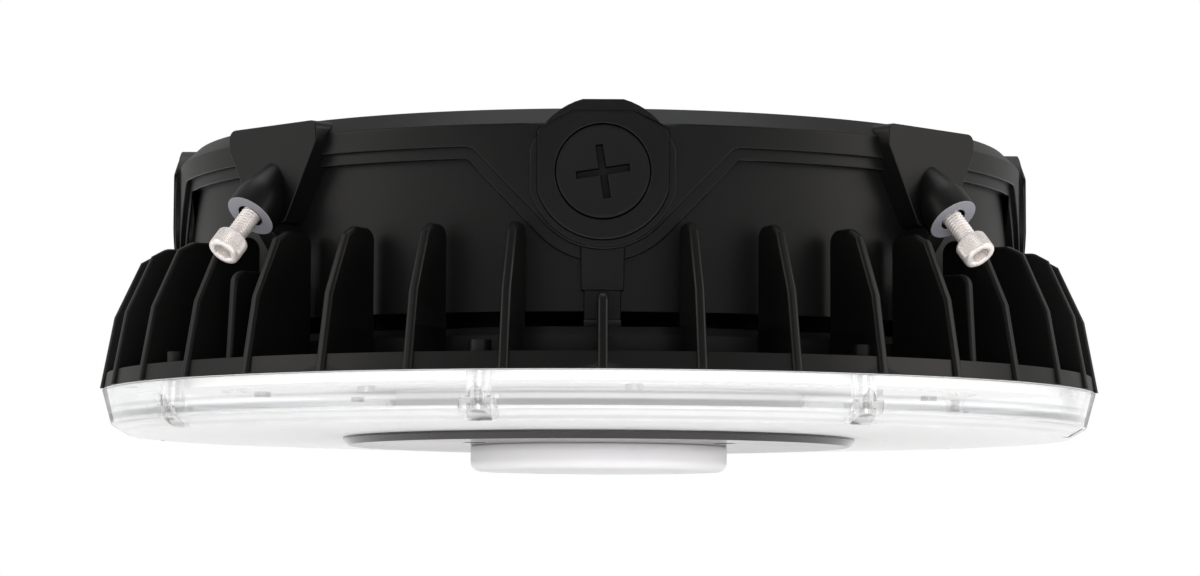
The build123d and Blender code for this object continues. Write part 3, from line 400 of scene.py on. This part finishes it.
# clear moulded polycarbonate: slight haze, flow ripples, lines of shade round the wall
def lensFinish(name, colour, rough, flatRough, clearShare, lines):
    mat, tree, shader = startMaterial(name, {"IOR": 1.585})
    cloud = objectNoise(tree, 40, detail=3)
    clean = ramp(tree, cloud, dulled(colour, 0.985), colour)
    # 1 on the flat bottom of the dish, 0 on its side wall
    shape = tree.nodes.new("ShaderNodeNewGeometry")
    parts = tree.nodes.new("ShaderNodeSeparateXYZ")
    tree.links.new(shape.outputs["Normal"], parts.inputs[0])
    flat = addNode(tree, "ShaderNodeMapRange", {"From Min": 0.80, "From Max": 0.97})
    tree.links.new(mathNode(tree, "MULTIPLY", parts.outputs["Z"], -1.0), flat.inputs["Value"])
    extra = mathNode(tree, "MULTIPLY", flat.outputs["Result"], flatRough)
    feed(tree, shader, "Roughness", mathNode(tree, "ADD", spread(tree, cloud, *rough), extra))
    less = mathNode(tree, "MULTIPLY", flat.outputs["Result"], clearShare[1] - clearShare[0])
    feed(tree, shader, "Transmission Weight", mathNode(tree, "ADD", less, clearShare[0]))
    bump(tree, shader, objectNoise(tree, 90, detail=1.5), 0.06, 0.0002)
    # shade = dark share where |z - height| < half width, fading out further off; none on the flat
    coords = tree.nodes.new("ShaderNodeTexCoord")
    place = tree.nodes.new("ShaderNodeSeparateXYZ")
    tree.links.new(coords.outputs["Object"], place.inputs[0])
    shade = 0.0
    for height, half, dark in lines:
        away = mathNode(tree, "ABSOLUTE", mathNode(tree, "SUBTRACT", place.outputs["Z"], height * mm))
        line = addNode(tree, "ShaderNodeMapRange", {
            "From Min": half * mm, "From Max": (half + 0.35) * mm, "To Min": dark, "To Max": 0.0})
        tree.links.new(away, line.inputs["Value"])
        shade = mathNode(tree, "ADD", line.outputs["Result"], shade)
    shade = mathNode(tree, "MULTIPLY", shade, spread(tree, objectNoise(tree, 11, detail=1), 0.45, 1.0))
    shade = mathNode(tree, "MULTIPLY", shade, mathNode(tree, "SUBTRACT", 1.0, flat.outputs["Result"]))
    dimmed = tree.nodes.new("ShaderNodeVectorMath")
    dimmed.operation = "SCALE"
    tree.links.new(clean, dimmed.inputs[0])
    tree.links.new(mathNode(tree, "SUBTRACT", 1.0, shade), dimmed.inputs["Scale"])
    feed(tree, shader, "Base Color", dimmed.outputs["Vector"])
    # light that falls on what is inside goes straight through
    clear = addNode(tree, "ShaderNodeBsdfTransparent", {"Color": (0.98, 0.98, 0.98, 1)})
    mix = tree.nodes.new("ShaderNodeMixShader")
    tree.links.new(raysOf(tree, "Is Shadow Ray", "Is Diffuse Ray"), mix.inputs[0])
    tree.links.new(shader.outputs[0], mix.inputs[1])
    tree.links.new(clear.outputs[0], mix.inputs[2])
    out = next(node for node in tree.nodes if node.type == "OUTPUT_MATERIAL")
    tree.links.new(mix.outputs[0], out.inputs["Surface"])
    return mat


# milk-white cover: light goes a little way in
def milkFinish(name, colour):
    mat, tree, shader = startMaterial(name, {
        "Subsurface Weight": 0.12, "Subsurface Radius": (1.0, 0.9, 0.85), "Subsurface Scale": 0.0012,
        "Specular IOR Level": 0.5})
    cloud = objectNoise(tree, 30, detail=3)
    feed(tree, shader, "Base Color", ramp(tree, cloud, dulled(colour, 0.975), colour))
    feed(tree, shader, "Roughness", spread(tree, cloud, 0.30, 0.42))
    bump(tree, shader, objectNoise(tree, 2500, detail=2), 0.05, 0.00004)
    return mat


finishes = {
    "powder_coat": coatFinish("powderCoat", finish["coatDark"], finish["coatLight"], finish["coatRough"],
                              finish["coatShine"]),
    "plug_black": mouldedFinish("plugPlastic", finish["plugDark"], finish["plugLight"], (0.48, 0.6),
                                grain=3200, strength=0.22, shine=0.36),
    "black_rubber": mouldedFinish("blackRubber", (0.010, 0.010, 0.010), (0.018, 0.018, 0.018),
                                  (0.7, 0.85), grain=1500, strength=0.2),
    "steel_fastener": metalFinish("screwSteel", (0.50, 0.49, 0.47), (0.24, 0.38)),
    "stainless": metalFinish("stainlessSteel", finish["steel"], (0.22, 0.34), lines=(3, 3, 3),
                             scale=1600, metal=0.6),
    "zinc_steel": zincFinish("zincSheet", finish["zinc"]),
    "green_screw": metalFinish("greenScrew", (0.045, 0.30, 0.11), (0.28, 0.42)),
    "driver_metal": metalFinish("driverCase", (0.72, 0.72, 0.73), (0.32, 0.44), lines=(1, 30, 1),
                                scale=400, strength=0.2),
    "terminal_plastic": mouldedFinish("terminalPlastic", (0.60, 0.60, 0.57), (0.68, 0.68, 0.65),
                                      (0.4, 0.52)),
    "thermal_pad": mouldedFinish("thermalPad", (0.30, 0.31, 0.34), (0.38, 0.39, 0.42), (0.8, 0.9),
                                 grain=700, strength=0.3),
    "white_board": boardFinish("whiteBoard", finish["board"]),
    "led_phosphor": mouldedFinish("phosphor", finish["phosphor"], (0.96, 0.63, 0.27), (0.45, 0.6),
                                  grain=5000),
    "white_sheet": mouldedFinish("whiteSheet", finish["sheet"], (0.89, 0.89, 0.88), (0.38, 0.5),
                                 grain=900, strength=0.05),
    "clear_lens": lensFinish("clearLens", finish["lens"], finish["lensRough"], finish["lensFlatRough"],
                             finish["lensClear"], finish["lensLines"]),
    "grey_plate": coatFinish("plateCoat", finish["plate"], (0.034, 0.031, 0.032), (0.10, 0.17), 0.5),
    "white_plastic": mouldedFinish("whitePlastic", (0.76, 0.76, 0.75), (0.82, 0.82, 0.81), (0.4, 0.5)),
    "sensor_board": mouldedFinish("sensorBoard", (0.02, 0.11, 0.05), (0.03, 0.16, 0.07), (0.3, 0.45),
                                  grain=600, strength=0.3),
    "milky_cover": milkFinish("milkyCover", finish["milk"]),
}
# finishes of single faces of a piece, beside its own
ledFrame = mouldedFinish("ledFrame", (0.80, 0.80, 0.78), (0.85, 0.85, 0.83), (0.35, 0.45), grain=5000)
whitePaint = mouldedFinish("whitePaint", (0.88, 0.88, 0.87), (0.92, 0.92, 0.91), (0.4, 0.5), grain=2200)
# painted highlight: a light bluish grey coat for the bolt bosses' end faces, standing in for reflected
# light
bossEndHighlight = coatFinish("bossEndHighlight", (0.18, 0.18, 0.205), (0.23, 0.23, 0.255), (0.30, 0.42), 0.5)
print("materials:", len(finishes) + 3)

slotOf = {part["node"]: part["material_slot"] for part in frame["record"]["subparts"]}


def dress(obj, *mats):
    obj.data.materials.clear()
    for mat in mats:
        obj.data.materials.append(mat)


for nodeName, cadObject in frame["nodes"].items():
    dress(cadObject, finishes[slotOf[nodeName]])


# quads between neighbouring rows and columns of a grid, columns wrapped round
def gridFaces(rows, cols, wrap=True):
    last = cols if wrap else cols - 1
    r, c = np.meshgrid(np.arange(rows - 1), np.arange(last), indexing="ij")
    here = r * cols + c
    side = r * cols + (c + 1) % cols
    return np.stack([here, side, side + cols, here + cols], axis=-1).reshape(-1, 4)


# points are millimetres; doubles at poles are merged and the shell is turned outwards
def makePiece(name, points, faces, sharpDeg=35, faceMats=None):
    mesh = bpy.data.meshes.new(name)
    mesh.from_pydata((np.asarray(points).reshape(-1, 3) * mm).tolist(), [], np.asarray(faces).tolist())
    if faceMats is not None:
        mesh.polygons.foreach_set("material_index", np.asarray(faceMats, dtype=np.int32))
    bm = bmesh.new()
    bm.from_mesh(mesh)
    bmesh.ops.remove_doubles(bm, verts=bm.verts, dist=2e-7)
    bmesh.ops.dissolve_degenerate(bm, edges=bm.edges, dist=1e-8)
    bmesh.ops.recalc_face_normals(bm, faces=bm.faces)
    bm.to_mesh(mesh)
    bm.free()
    mesh.shade_smooth()
    mesh.set_sharp_from_angle(angle=math.radians(sharpDeg))
    obj = bpy.data.objects.new(name, mesh)
    bpy.context.scene.collection.objects.link(obj)
    return obj


def settle(obj, slot, body, *nodes):
    dress(obj, finishes[slot])
    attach(obj, body)
    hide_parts(*nodes)


joinSet = {"same": 2e-6, "flatDeg": 0.7}    # in metres: points this near are one


# the same solid with its triangles joined up, smooth over curves and with small rounded edges
def joinedCopy(nodeName, name, sharpDeg, roundMm):
    source = frame["nodes"][nodeName].data
    co = np.zeros(len(source.vertices) * 3, np.float32)
    source.vertices.foreach_get("co", co)
    source.calc_loop_triangles()
    tri = np.zeros(len(source.loop_triangles) * 3, np.int32)
    source.loop_triangles.foreach_get("vertices", tri)
    co = co.reshape(-1, 3).astype(float)
    keys = np.round(co / joinSet["same"]).astype(np.int64)
    _, first, inverse = np.unique(keys, axis=0, return_index=True, return_inverse=True)
    tri = inverse.ravel()[tri].reshape(-1, 3)
    tri = tri[(tri[:, 0] != tri[:, 1]) & (tri[:, 1] != tri[:, 2]) & (tri[:, 0] != tri[:, 2])]
    mesh = bpy.data.meshes.new(name)
    mesh.from_pydata(co[first].tolist(), [], tri.tolist())
    if roundMm > 0:
        bm = bmesh.new()
        bm.from_mesh(mesh)
        bmesh.ops.dissolve_limit(bm, angle_limit=math.radians(joinSet["flatDeg"]), verts=bm.verts,
                                 edges=bm.edges)
        # only edges that stick out are rounded
        weight = bm.edges.layers.float.new("bevel_weight_edge")
        for edge in bm.edges:
            if edge.is_manifold and edge.calc_face_angle_signed() > math.radians(sharpDeg):
                edge[weight] = 1.0
        bm.to_mesh(mesh)
        bm.free()
    mesh.shade_smooth()
    mesh.set_sharp_from_angle(angle=math.radians(sharpDeg))
    obj = bpy.data.objects.new(name, mesh)
    bpy.context.scene.collection.objects.link(obj)
    if roundMm > 0:
        edge = obj.modifiers.new("edges", "BEVEL")
        edge.width = roundMm * mm
        edge.segments = 2
        edge.limit_method = "WEIGHT"
        edge.use_clamp_overlap = False
        edge.harden_normals = True
        edge.miter_outer = "MITER_ARC"
    return obj


boltSet = {
    "ringRadius": 146.8,    # where the boss ends, from the light's axis
    "height": -31.95,
    "tiltDeg": 48.8,
    "out": 9.3,             # underside of the head to the boss
    "length": 30.0,
    "threadOuter": 2.96,
    "threadInner": 2.46,
    "pitch": 1.0,
    "headRadius": 4.97,
    "headHeight": 6.0,
    "knurls": 54,
    "knurlDeep": 0.17,
    "socketAcross": 5.0,
    "socketDeep": 3.2,
}


# r = inner + (outer - inner) * clipped triangle wave of (s / pitch - angle / full turn),
# faded out at both ends
def threadRings(angle, along, inner, outer, pitch, start, end, fade=1.2):
    phase = (along[:, None] / pitch - angle[None, :] / (2 * math.pi)) % 1.0
    tooth = np.clip(1.6 * (1 - np.abs(2 * phase - 1)) - 0.2, 0, 1)
    ease = np.clip((along - start) / fade, 0, 1) * np.clip((end - along) / fade, 0, 1)
    return inner + (outer - inner) * tooth * ease[:, None]


# radius of a regular hexagon in each direction: half across / cos of the angle to its nearest flat
def hexRadius(angle, across):
    return across / 2 / np.cos((angle % (math.pi / 3)) - math.pi / 6)


# rings of radius r(angle) at heights s, closed to the axis at both ends
def ringSurface(angle, radii, heights):
    radii = np.vstack([np.zeros_like(angle), radii, np.zeros_like(angle)])
    heights = np.concatenate([heights[:1], heights, heights[-1:]])
    x = radii * np.cos(angle)[None, :]
    y = radii * np.sin(angle)[None, :]
    z = np.repeat(heights[:, None], len(angle), axis=1)
    return np.stack([x, y, z], axis=-1).reshape(-1, 3), gridFaces(len(heights), len(angle))


def joinParts(parts):
    points, faces, start = [], [], 0
    for p, f in parts:
        points.append(p)
        faces.append(f + start)
        start += len(p)
    return np.vstack(points), np.vstack(faces)


def boltShape(values):
    turn = np.linspace(0, 2 * math.pi, 48, endpoint=False)
    start = values["out"] - values["length"]
    end = values["out"] + 0.4
    along = np.arange(start, end, values["pitch"] / 8)
    radii = threadRings(turn, along, values["threadInner"], values["threadOuter"], values["pitch"],
                        start, end - 0.6)
    radii[0] = values["threadInner"] - 0.5
    shank = ringSurface(turn, radii, along)
    fine = np.linspace(0, 2 * math.pi, 6 * values["knurls"], endpoint=False)
    full = np.full_like(fine, values["headRadius"])
    groove = values["knurlDeep"] * (0.5 - 0.5 * np.cos(values["knurls"] * fine)) ** 1.5
    hexagon = hexRadius(fine, values["socketAcross"])
    base = values["out"]
    top = base + values["headHeight"]
    # radius and place along the bolt, from the underside of the head round to the socket's end
    rows = [
        (full - 0.5, base),
        (full - 0.22, base + 0.06),
        (full - 0.06, base + 0.3),
        (full - groove * 0.6, base + 0.5),
        (full - groove, base + 0.8),
        (full - groove, base + 2.2),
        (full - groove, base + 3.6),
        (full - groove, top - 1.1),
        (full - groove * 0.6, top - 0.8),
        (full - 0.04, top - 0.6),
        (full - 0.20, top - 0.26),
        (full - 0.48, top - 0.05),
        (full - 0.75, top),
        (np.full_like(fine, 3.20), top),
        (hexagon * 0.35 + 3.0 * 0.65, top - 0.10),
        (hexagon, top - 0.34),
        (hexagon, top - 1.6),
        (hexagon, top - values["socketDeep"]),
        (hexagon * 0.5, top - values["socketDeep"] - 0.25),
        (hexagon * 0.1, top - values["socketDeep"] - 0.55),
    ]
    head = ringSurface(fine, np.array([r for r, s in rows]), np.array([s for r, s in rows]))
    return joinParts([shank, head])


# local x, y, s to the slanted line of one ear: centre + s * line + x * side + y * (line x side)
def ontoBolt(points, values, turnDeg):
    tilt, turn = math.radians(values["tiltDeg"]), math.radians(turnDeg)
    outward = np.array([math.cos(turn), math.sin(turn), 0])
    line = math.cos(tilt) * outward + np.array([0, 0, -math.sin(tilt)])
    side = np.array([-math.sin(turn), math.cos(turn), 0])
    third = np.cross(line, side)
    centre = values["ringRadius"] * outward + np.array([0, 0, values["height"]])
    return centre + points[:, 2:3] * line + points[:, 0:1] * side + points[:, 1:2] * third


boltPoints, boltFaces = boltShape(boltSet)
for place, turnDeg in earTurns.items():
    node = "clamp_bolt_" + place
    placed = ontoBolt(boltPoints, boltSet, turnDeg)
    bolt = makePiece("clampBolt_" + place, placed, boltFaces, sharpDeg=32)
    settle(bolt, "stainless", node, node)
print("clamp bolts")


plugSet = {
    "radius": 13.5,
    "threadRadius": 12.75,
    "threadPitch": 1.8,
    "threadDeep": 0.45,
    "headThick": 3.2,
    "length": 16.0,
    "slotLength": 15.4,
    "slotWidth": 2.0,
    "slotDeep": 2.6,
    "slotTurnDeg": 9.0,
    "slope": 0.22,          # width of the slot's slanted edge
    "dish": 0.15,
    "rimFlat": 0.62,        # from the grid's edge to the plug's side
    "boreRadius": 10.8,
    "boreDeep": 3.0,
}


# grid lines close together where the slot's edges are, from the middle out to the rim
def plugLines(values):
    half, long = values["slotWidth"] / 2, values["slotLength"] / 2
    inner = [0, half * 0.5, half - 0.12, half, half + 0.10, half + 0.28]
    middle = np.linspace(half + 0.9, long - 0.7, 7).tolist()
    outer = [long - 0.12, long, long + 0.10, long + 0.28, long + 1.0, long + 2.2, long + 3.4,
             long + 4.4, values["radius"] - values["rimFlat"]]
    one = np.array(inner + middle + outer)
    return np.concatenate([-one[:0:-1], one])


# height = -deep * the larger of the two arms, where an arm is 1 inside it and 0 outside
def plugHeight(x, y, values):
    half, long = values["slotWidth"] / 2, values["slotLength"] / 2

    def arm(a, b):
        side = np.clip((half + 0.10 - np.abs(a)) / values["slope"], 0, 1)
        tip = np.clip((long + 0.10 - np.abs(b)) / values["slope"], 0, 1)
        return side * tip
    return -values["slotDeep"] * np.maximum(arm(x, y), arm(y, x))


# a square grid pushed out to a disc: far from the middle each point slides to radius max(|x|, |y|);
# the face is dished by dish * (1 - (r / edge) ^ 2), and side, thread and bore hang on its rim
def plugShape(values):
    lines = plugLines(values)
    x, y = np.meshgrid(lines, lines, indexing="ij")
    size = np.maximum(np.abs(x), np.abs(y))
    radius = np.hypot(x, y)
    start = values["slotLength"] / 2 + 0.3
    edge = lines[-1]
    share = np.clip((size - start) / (edge - start), 0, 1)
    scale = 1 - share + share * size / np.maximum(radius, 1e-9)
    px, py = x * scale, y * scale
    pz = plugHeight(x, y, values) - values["dish"] * (1 - (np.hypot(px, py) / edge) ** 2)
    count = len(lines)
    face = np.stack([px, py, pz], axis=-1).reshape(-1, 3)
    faceQuads = gridFaces(count, count, wrap=False)
    # the rim of the grid, as one loop of point numbers
    top = np.arange(count) * count
    loop = np.concatenate([top[:-1], (count - 1) * count + np.arange(count - 1),
                           (top + count - 1)[::-1][:-1], np.arange(count - 1, 0, -1)])
    rim = face[loop]
    angle = np.arctan2(rim[:, 1], rim[:, 0])
    out, back = values["radius"], -values["headThick"]
    rows = [(edge + 0.22, -0.04), (out - 0.14, -0.18), (out, -0.5), (out, back + 0.3), (out - 0.3, back)]
    depth = np.arange(back, -values["length"] + 0.6, -values["threadPitch"] / 6)
    # r = outer - deep * (1 - cosine wave * ease)
    phase = depth[:, None] / values["threadPitch"] - angle[None, :] / (2 * math.pi)
    wave = 0.5 + 0.5 * np.cos(2 * math.pi * phase)
    ease = np.clip((back - depth) / 1.5, 0, 1) * np.clip((depth + values["length"]) / 1.2, 0, 1)
    threads = values["threadRadius"] - values["threadDeep"] * (1 - wave * ease[:, None])
    ones = np.ones((1, len(loop)))
    side = np.array([r for r, s in rows])[:, None] * ones
    bore, end = values["boreRadius"] * ones, -values["length"]
    radii = np.vstack([side, threads, bore, bore, 0 * ones])
    ends = [end, end + values["boreDeep"], end + values["boreDeep"]]
    heights = np.concatenate([[s for r, s in rows], depth, ends])
    body = np.stack([radii * np.cos(angle), radii * np.sin(angle), heights[:, None] * ones], axis=-1)
    body = np.vstack([rim[None], body])
    return joinParts([(face, faceQuads), (body.reshape(-1, 3), gridFaces(len(body), len(loop)))])


# local x across, y up, z out of the hub
def ontoHub(points, turnDeg, slotTurnDeg):
    turn, twist = math.radians(turnDeg), math.radians(slotTurnDeg)
    across = points[:, 0] * math.cos(twist) - points[:, 1] * math.sin(twist)
    up = points[:, 0] * math.sin(twist) + points[:, 1] * math.cos(twist)
    out = stack["hubFace"] + points[:, 2]
    x = out * math.cos(turn) - across * math.sin(turn)
    y = out * math.sin(turn) + across * math.cos(turn)
    return np.stack([x, y, stack["hubAxis"] + up], axis=-1)


plugPoints, plugFaces = plugShape(plugSet)
for place, turnDeg in hubTurns.items():
    node = "conduit_plug_" + place
    placed = ontoHub(plugPoints, turnDeg, plugSet["slotTurnDeg"])
    plug = makePiece("conduitPlug_" + place, placed, plugFaces)
    settle(plug, "plug_black", node, node)
print("conduit plugs")


lensScrewSet = {
    "ring": 152.8,
    "turns": (-146.0, -103.0, -61.0, -13.0, 34.0, 77.0, 119.0, 167.0),
    "seat": -89.0,
    "headRadius": 3.2,
    "headHeight": 2.4,
    "socket": 3.0,
    "socketDeep": 1.3,
    "threadOuter": 1.93,
    "threadInner": 1.45,
    "pitch": 1.15,
    "reach": 6.6,
}


def lensScrewShape(values):
    turn = np.linspace(0, 2 * math.pi, 36, endpoint=False)
    start = values["seat"] - 0.3
    end = stack["seam"] + values["reach"]
    along = np.arange(start, end, values["pitch"] / 7)
    radii = threadRings(turn, along, values["threadInner"], values["threadOuter"], values["pitch"],
                        start + 0.8, end, fade=0.9)
    shank = ringSurface(turn, radii, along)
    full = np.full_like(turn, values["headRadius"])
    hexagon = hexRadius(turn, values["socket"])
    low = values["seat"] - values["headHeight"]
    deep = low + values["socketDeep"]
    rows = [(full, values["seat"]), (full, low + 1.1), (full - 0.25, low + 0.45),
            (full - 0.8, low + 0.1), (full - 1.2, low), (hexagon * 0.5 + 1.0, low),
            (hexagon, low + 0.2), (hexagon, deep), (hexagon * 0.4, deep + 0.3)]
    head = ringSurface(turn, np.array([r for r, s in rows]), np.array([s for r, s in rows]))
    return joinParts([shank, head])


# one shape turned to every place of a ring, as one array of points
def ringOf(points, faces, turns, ring):
    turns = np.radians(np.asarray(turns))
    x = points[None, :, 0] * np.cos(turns)[:, None] - points[None, :, 1] * np.sin(turns)[:, None]
    y = points[None, :, 0] * np.sin(turns)[:, None] + points[None, :, 1] * np.cos(turns)[:, None]
    x = x + ring * np.cos(turns)[:, None]
    y = y + ring * np.sin(turns)[:, None]
    z = np.repeat(points[None, :, 2], len(turns), axis=0)
    every = np.stack([x, y, z], axis=-1).reshape(-1, 3)
    shift = (np.arange(len(turns)) * len(points))[:, None, None]
    return every, (faces[None] + shift).reshape(-1, faces.shape[1])


screwPoints, screwFaces = lensScrewShape(lensScrewSet)
allPoints, allFaces = ringOf(screwPoints, screwFaces, lensScrewSet["turns"], lensScrewSet["ring"])
lensScrews = makePiece("lensScrews", allPoints, allFaces, sharpDeg=38)
settle(lensScrews, "steel_fastener", "fixture", "lens_screws")
print("lens screws")


chipSet = {
    "ring": 118.0,
    "pitch": 7.0,
    "board": -81.3,         # the board's face
    "radial": 2.8,
    "along": 3.5,
    "thick": 0.7,
    "frame": 0.42,
    "dip": 0.12,
    "edge": 0.1,
}


# square rings from the board side to the phosphor in the middle: half sizes and heights per ring
def chipShape(values):
    a, b = values["radial"] / 2, values["along"] / 2
    face = values["board"]
    low = face - values["thick"]
    f, dip, edge = values["frame"], values["dip"], values["edge"]
    rings = [(0, 0, face), (a, b, face), (a, b, low + edge), (a - edge, b - edge, low),
             (a - f, b - f, low), (a - f - dip, b - f - dip, low + dip), (0, 0, low + dip * 0.6)]
    signs = np.array([(1, 1), (-1, 1), (-1, -1), (1, -1)], float)
    points = np.array([[(u * p, v * q, z) for u, v in signs] for p, q, z in rings]).reshape(-1, 3)
    faces = gridFaces(len(rings), 4)
    glow = np.zeros(len(faces), np.int32)
    # four faces to a ring: the sides are phosphor too, only the rim round the middle is white
    glow[4:12] = 1
    glow[-8:] = 1
    return points, faces, glow


chipPoints, chipFaces, chipGlow = chipShape(chipSet)
chipCount = round(2 * math.pi * chipSet["ring"] / chipSet["pitch"])
chipTurns = np.arange(chipCount) * 360.0 / chipCount
allPoints, allFaces = ringOf(chipPoints, chipFaces, chipTurns, chipSet["ring"])
ledPackages = makePiece("ledPackages", allPoints, allFaces, sharpDeg=30,
                        faceMats=np.tile(chipGlow, chipCount))
settle(ledPackages, "led_phosphor", "fixture", "led_chips")
dress(ledPackages, ledFrame, finishes["led_phosphor"])
print("LED packages:", chipCount)


coverSet = {
    "radius": 41.6,
    "height": 8.1,
    "wall": 2.0,
    "round": 3.0,
    "insideRound": 1.2,
    "segments": 192,
}


# quarter circle of points: centre + r * (cos, sin) from one angle to the other
def arc(centre, radius, fromDeg, toDeg, count):
    turn = np.radians(np.linspace(fromDeg, toDeg, count))
    return np.stack([centre[0] + radius * np.cos(turn), centre[1] + radius * np.sin(turn)], axis=-1)


# a closed profile of (radius, height) points carried round the light's axis
def lathe(profile, segments):
    turn = np.linspace(0, 2 * math.pi, segments, endpoint=False)
    x = profile[:, 0:1] * np.cos(turn)[None, :]
    y = profile[:, 0:1] * np.sin(turn)[None, :]
    z = np.repeat(profile[:, 1:2], segments, axis=1)
    return np.stack([x, y, z], axis=-1).reshape(-1, 3), gridFaces(len(profile), segments)


def coverShape(values):
    top = stack["plateBottom"]
    low = top - values["height"]
    out, wall, big, small = values["radius"], values["wall"], values["round"], values["insideRound"]
    outer = np.vstack([[(out - 0.3, top), (out, top - 0.3), (out, top - 2.5)],
                       arc((out - big, low + big), big, 0, -90, 12),
                       [(out * 0.6, low), (out * 0.25, low), (0, low)]])
    inside = np.vstack([[(0, low + wall), (out * 0.5, low + wall)],
                        arc((out - wall - small, low + wall + small), small, -90, 0, 6),
                        [(out - wall, top)]])
    profile = np.vstack([outer, inside, outer[:1]])
    return lathe(profile, values["segments"])


coverPoints, coverFaces = coverShape(coverSet)
sensorCover = makePiece("sensorCover", coverPoints, coverFaces, sharpDeg=50)
settle(sensorCover, "milky_cover", "fixture", "sensor_cover")
print("sensor cover")


groundSet = {
    "ring": 118.0,
    "side": 6.6,            # beside the front right ear's middle line
    "seat": -3.5,
    "across": 6.9,
    "head": 2.2,
    "flange": 3.999,
    "shank": 1.9,
    "threadDeep": 0.4,
    "length": 6.0,
    "pitch": 0.8,
}


def groundShape(values):
    turn = np.linspace(0, 2 * math.pi, 48, endpoint=False)
    seat = values["seat"]
    along = np.arange(seat - values["length"], seat + 0.2, values["pitch"] / 7)
    radii = threadRings(turn, along, values["shank"] - values["threadDeep"], values["shank"],
                        values["pitch"], seat - values["length"], seat, fade=0.8)
    shank = ringSurface(turn, radii, along)
    hexagon = hexRadius(turn, values["across"])
    flange = np.full_like(turn, values["flange"])
    top = seat + values["head"]
    rows = [(flange, seat), (flange, seat + 0.35), (hexagon, seat + 0.5), (hexagon, top - 0.45),
            (np.minimum(hexagon, 3.35), top - 0.25), (np.full_like(turn, 3.0), top - 0.06),
            (np.full_like(turn, 1.8), top), (np.full_like(turn, 1.5), top - 0.35)]
    head = ringSurface(turn, np.array([r for r, s in rows]), np.array([s for r, s in rows]))
    return joinParts([shank, head])


groundPoints, groundFaces = groundShape(groundSet)
groundTurn = math.radians(earTurns["front_right"])
groundPoints = groundPoints + np.array([
    groundSet["ring"] * math.cos(groundTurn) - groundSet["side"] * math.sin(groundTurn),
    groundSet["ring"] * math.sin(groundTurn) + groundSet["side"] * math.cos(groundTurn), 0])
groundScrew = makePiece("groundScrew", groundPoints, groundFaces, sharpDeg=32)
settle(groundScrew, "green_screw", "fixture", "ground_screw")
print("ground screw")


# one row of three numbers for every face
def faceRows(mesh, name):
    values = np.zeros(len(mesh.polygons) * 3)
    mesh.polygons.foreach_get(name, values)
    return values.reshape(-1, 3)


paintSet = {"below": -79.25, "outer": 158.2}


# the casting is painted white where it shows through the lens
def paintUnderside(shell, mat):
    mesh = shell.data
    centre = faceRows(mesh, "center") / mm
    radius = np.hypot(centre[:, 0], centre[:, 1])
    inside = (centre[:, 2] < paintSet["below"]) & (radius < paintSet["outer"])
    mesh.materials.append(mat)
    mesh.polygons.foreach_set("material_index", inside.astype(np.int32))


bossEndSet = {"depth": 1.0, "reach": 9.0, "facing": 0.9}


# painted highlight: the end face of each bolt boss gets a light bluish grey coat in place of the light
# it reflects;
# these are the faces near the line's start that look along it
def paintBossEndHighlight(shell, mat):
    mesh = shell.data
    centre = faceRows(mesh, "center") / mm
    facing = faceRows(mesh, "normal")
    index = np.zeros(len(mesh.polygons), np.int32)
    for turnDeg in earTurns.values():
        base, tip = ontoBolt(np.array([[0, 0, 0], [0, 0, 1.0]]), boltSet, turnDeg)
        away, line = centre - base, tip - base
        near = (np.abs(away @ line) < bossEndSet["depth"]) & (facing @ line > bossEndSet["facing"])
        index[near & (np.linalg.norm(away, axis=1) < bossEndSet["reach"])] = 1
    mesh.materials.append(mat)
    mesh.polygons.foreach_set("material_index", index)
    print("boss end faces:", int(index.sum()))


# solid: piece, angle from which an edge stays sharp, rounding of edges that stick out
shellSet = {
    "driver_housing": ("drumCasting", 32, 0.38),
    "heat_sink": ("heatSinkCasting", 32, 0.0),
    "lens": ("lensDish", 28, 0.0),
    "centre_plate": ("centrePlate", 30, 0.0),
    "mounting_plate": ("mountingPlate", 30, 0.0),
}
for nodeName, (pieceName, sharpDeg, roundMm) in shellSet.items():
    shell = joinedCopy(nodeName, pieceName, sharpDeg, roundMm)
    settle(shell, slotOf[nodeName], "fixture", nodeName)
    if nodeName == "driver_housing":
        # the painted highlight goes on the bosses' end faces
        paintBossEndHighlight(shell, bossEndHighlight)
    if nodeName == "heat_sink":
        paintUnderside(shell, whitePaint)
    print(pieceName, len(shell.data.polygons), "faces")
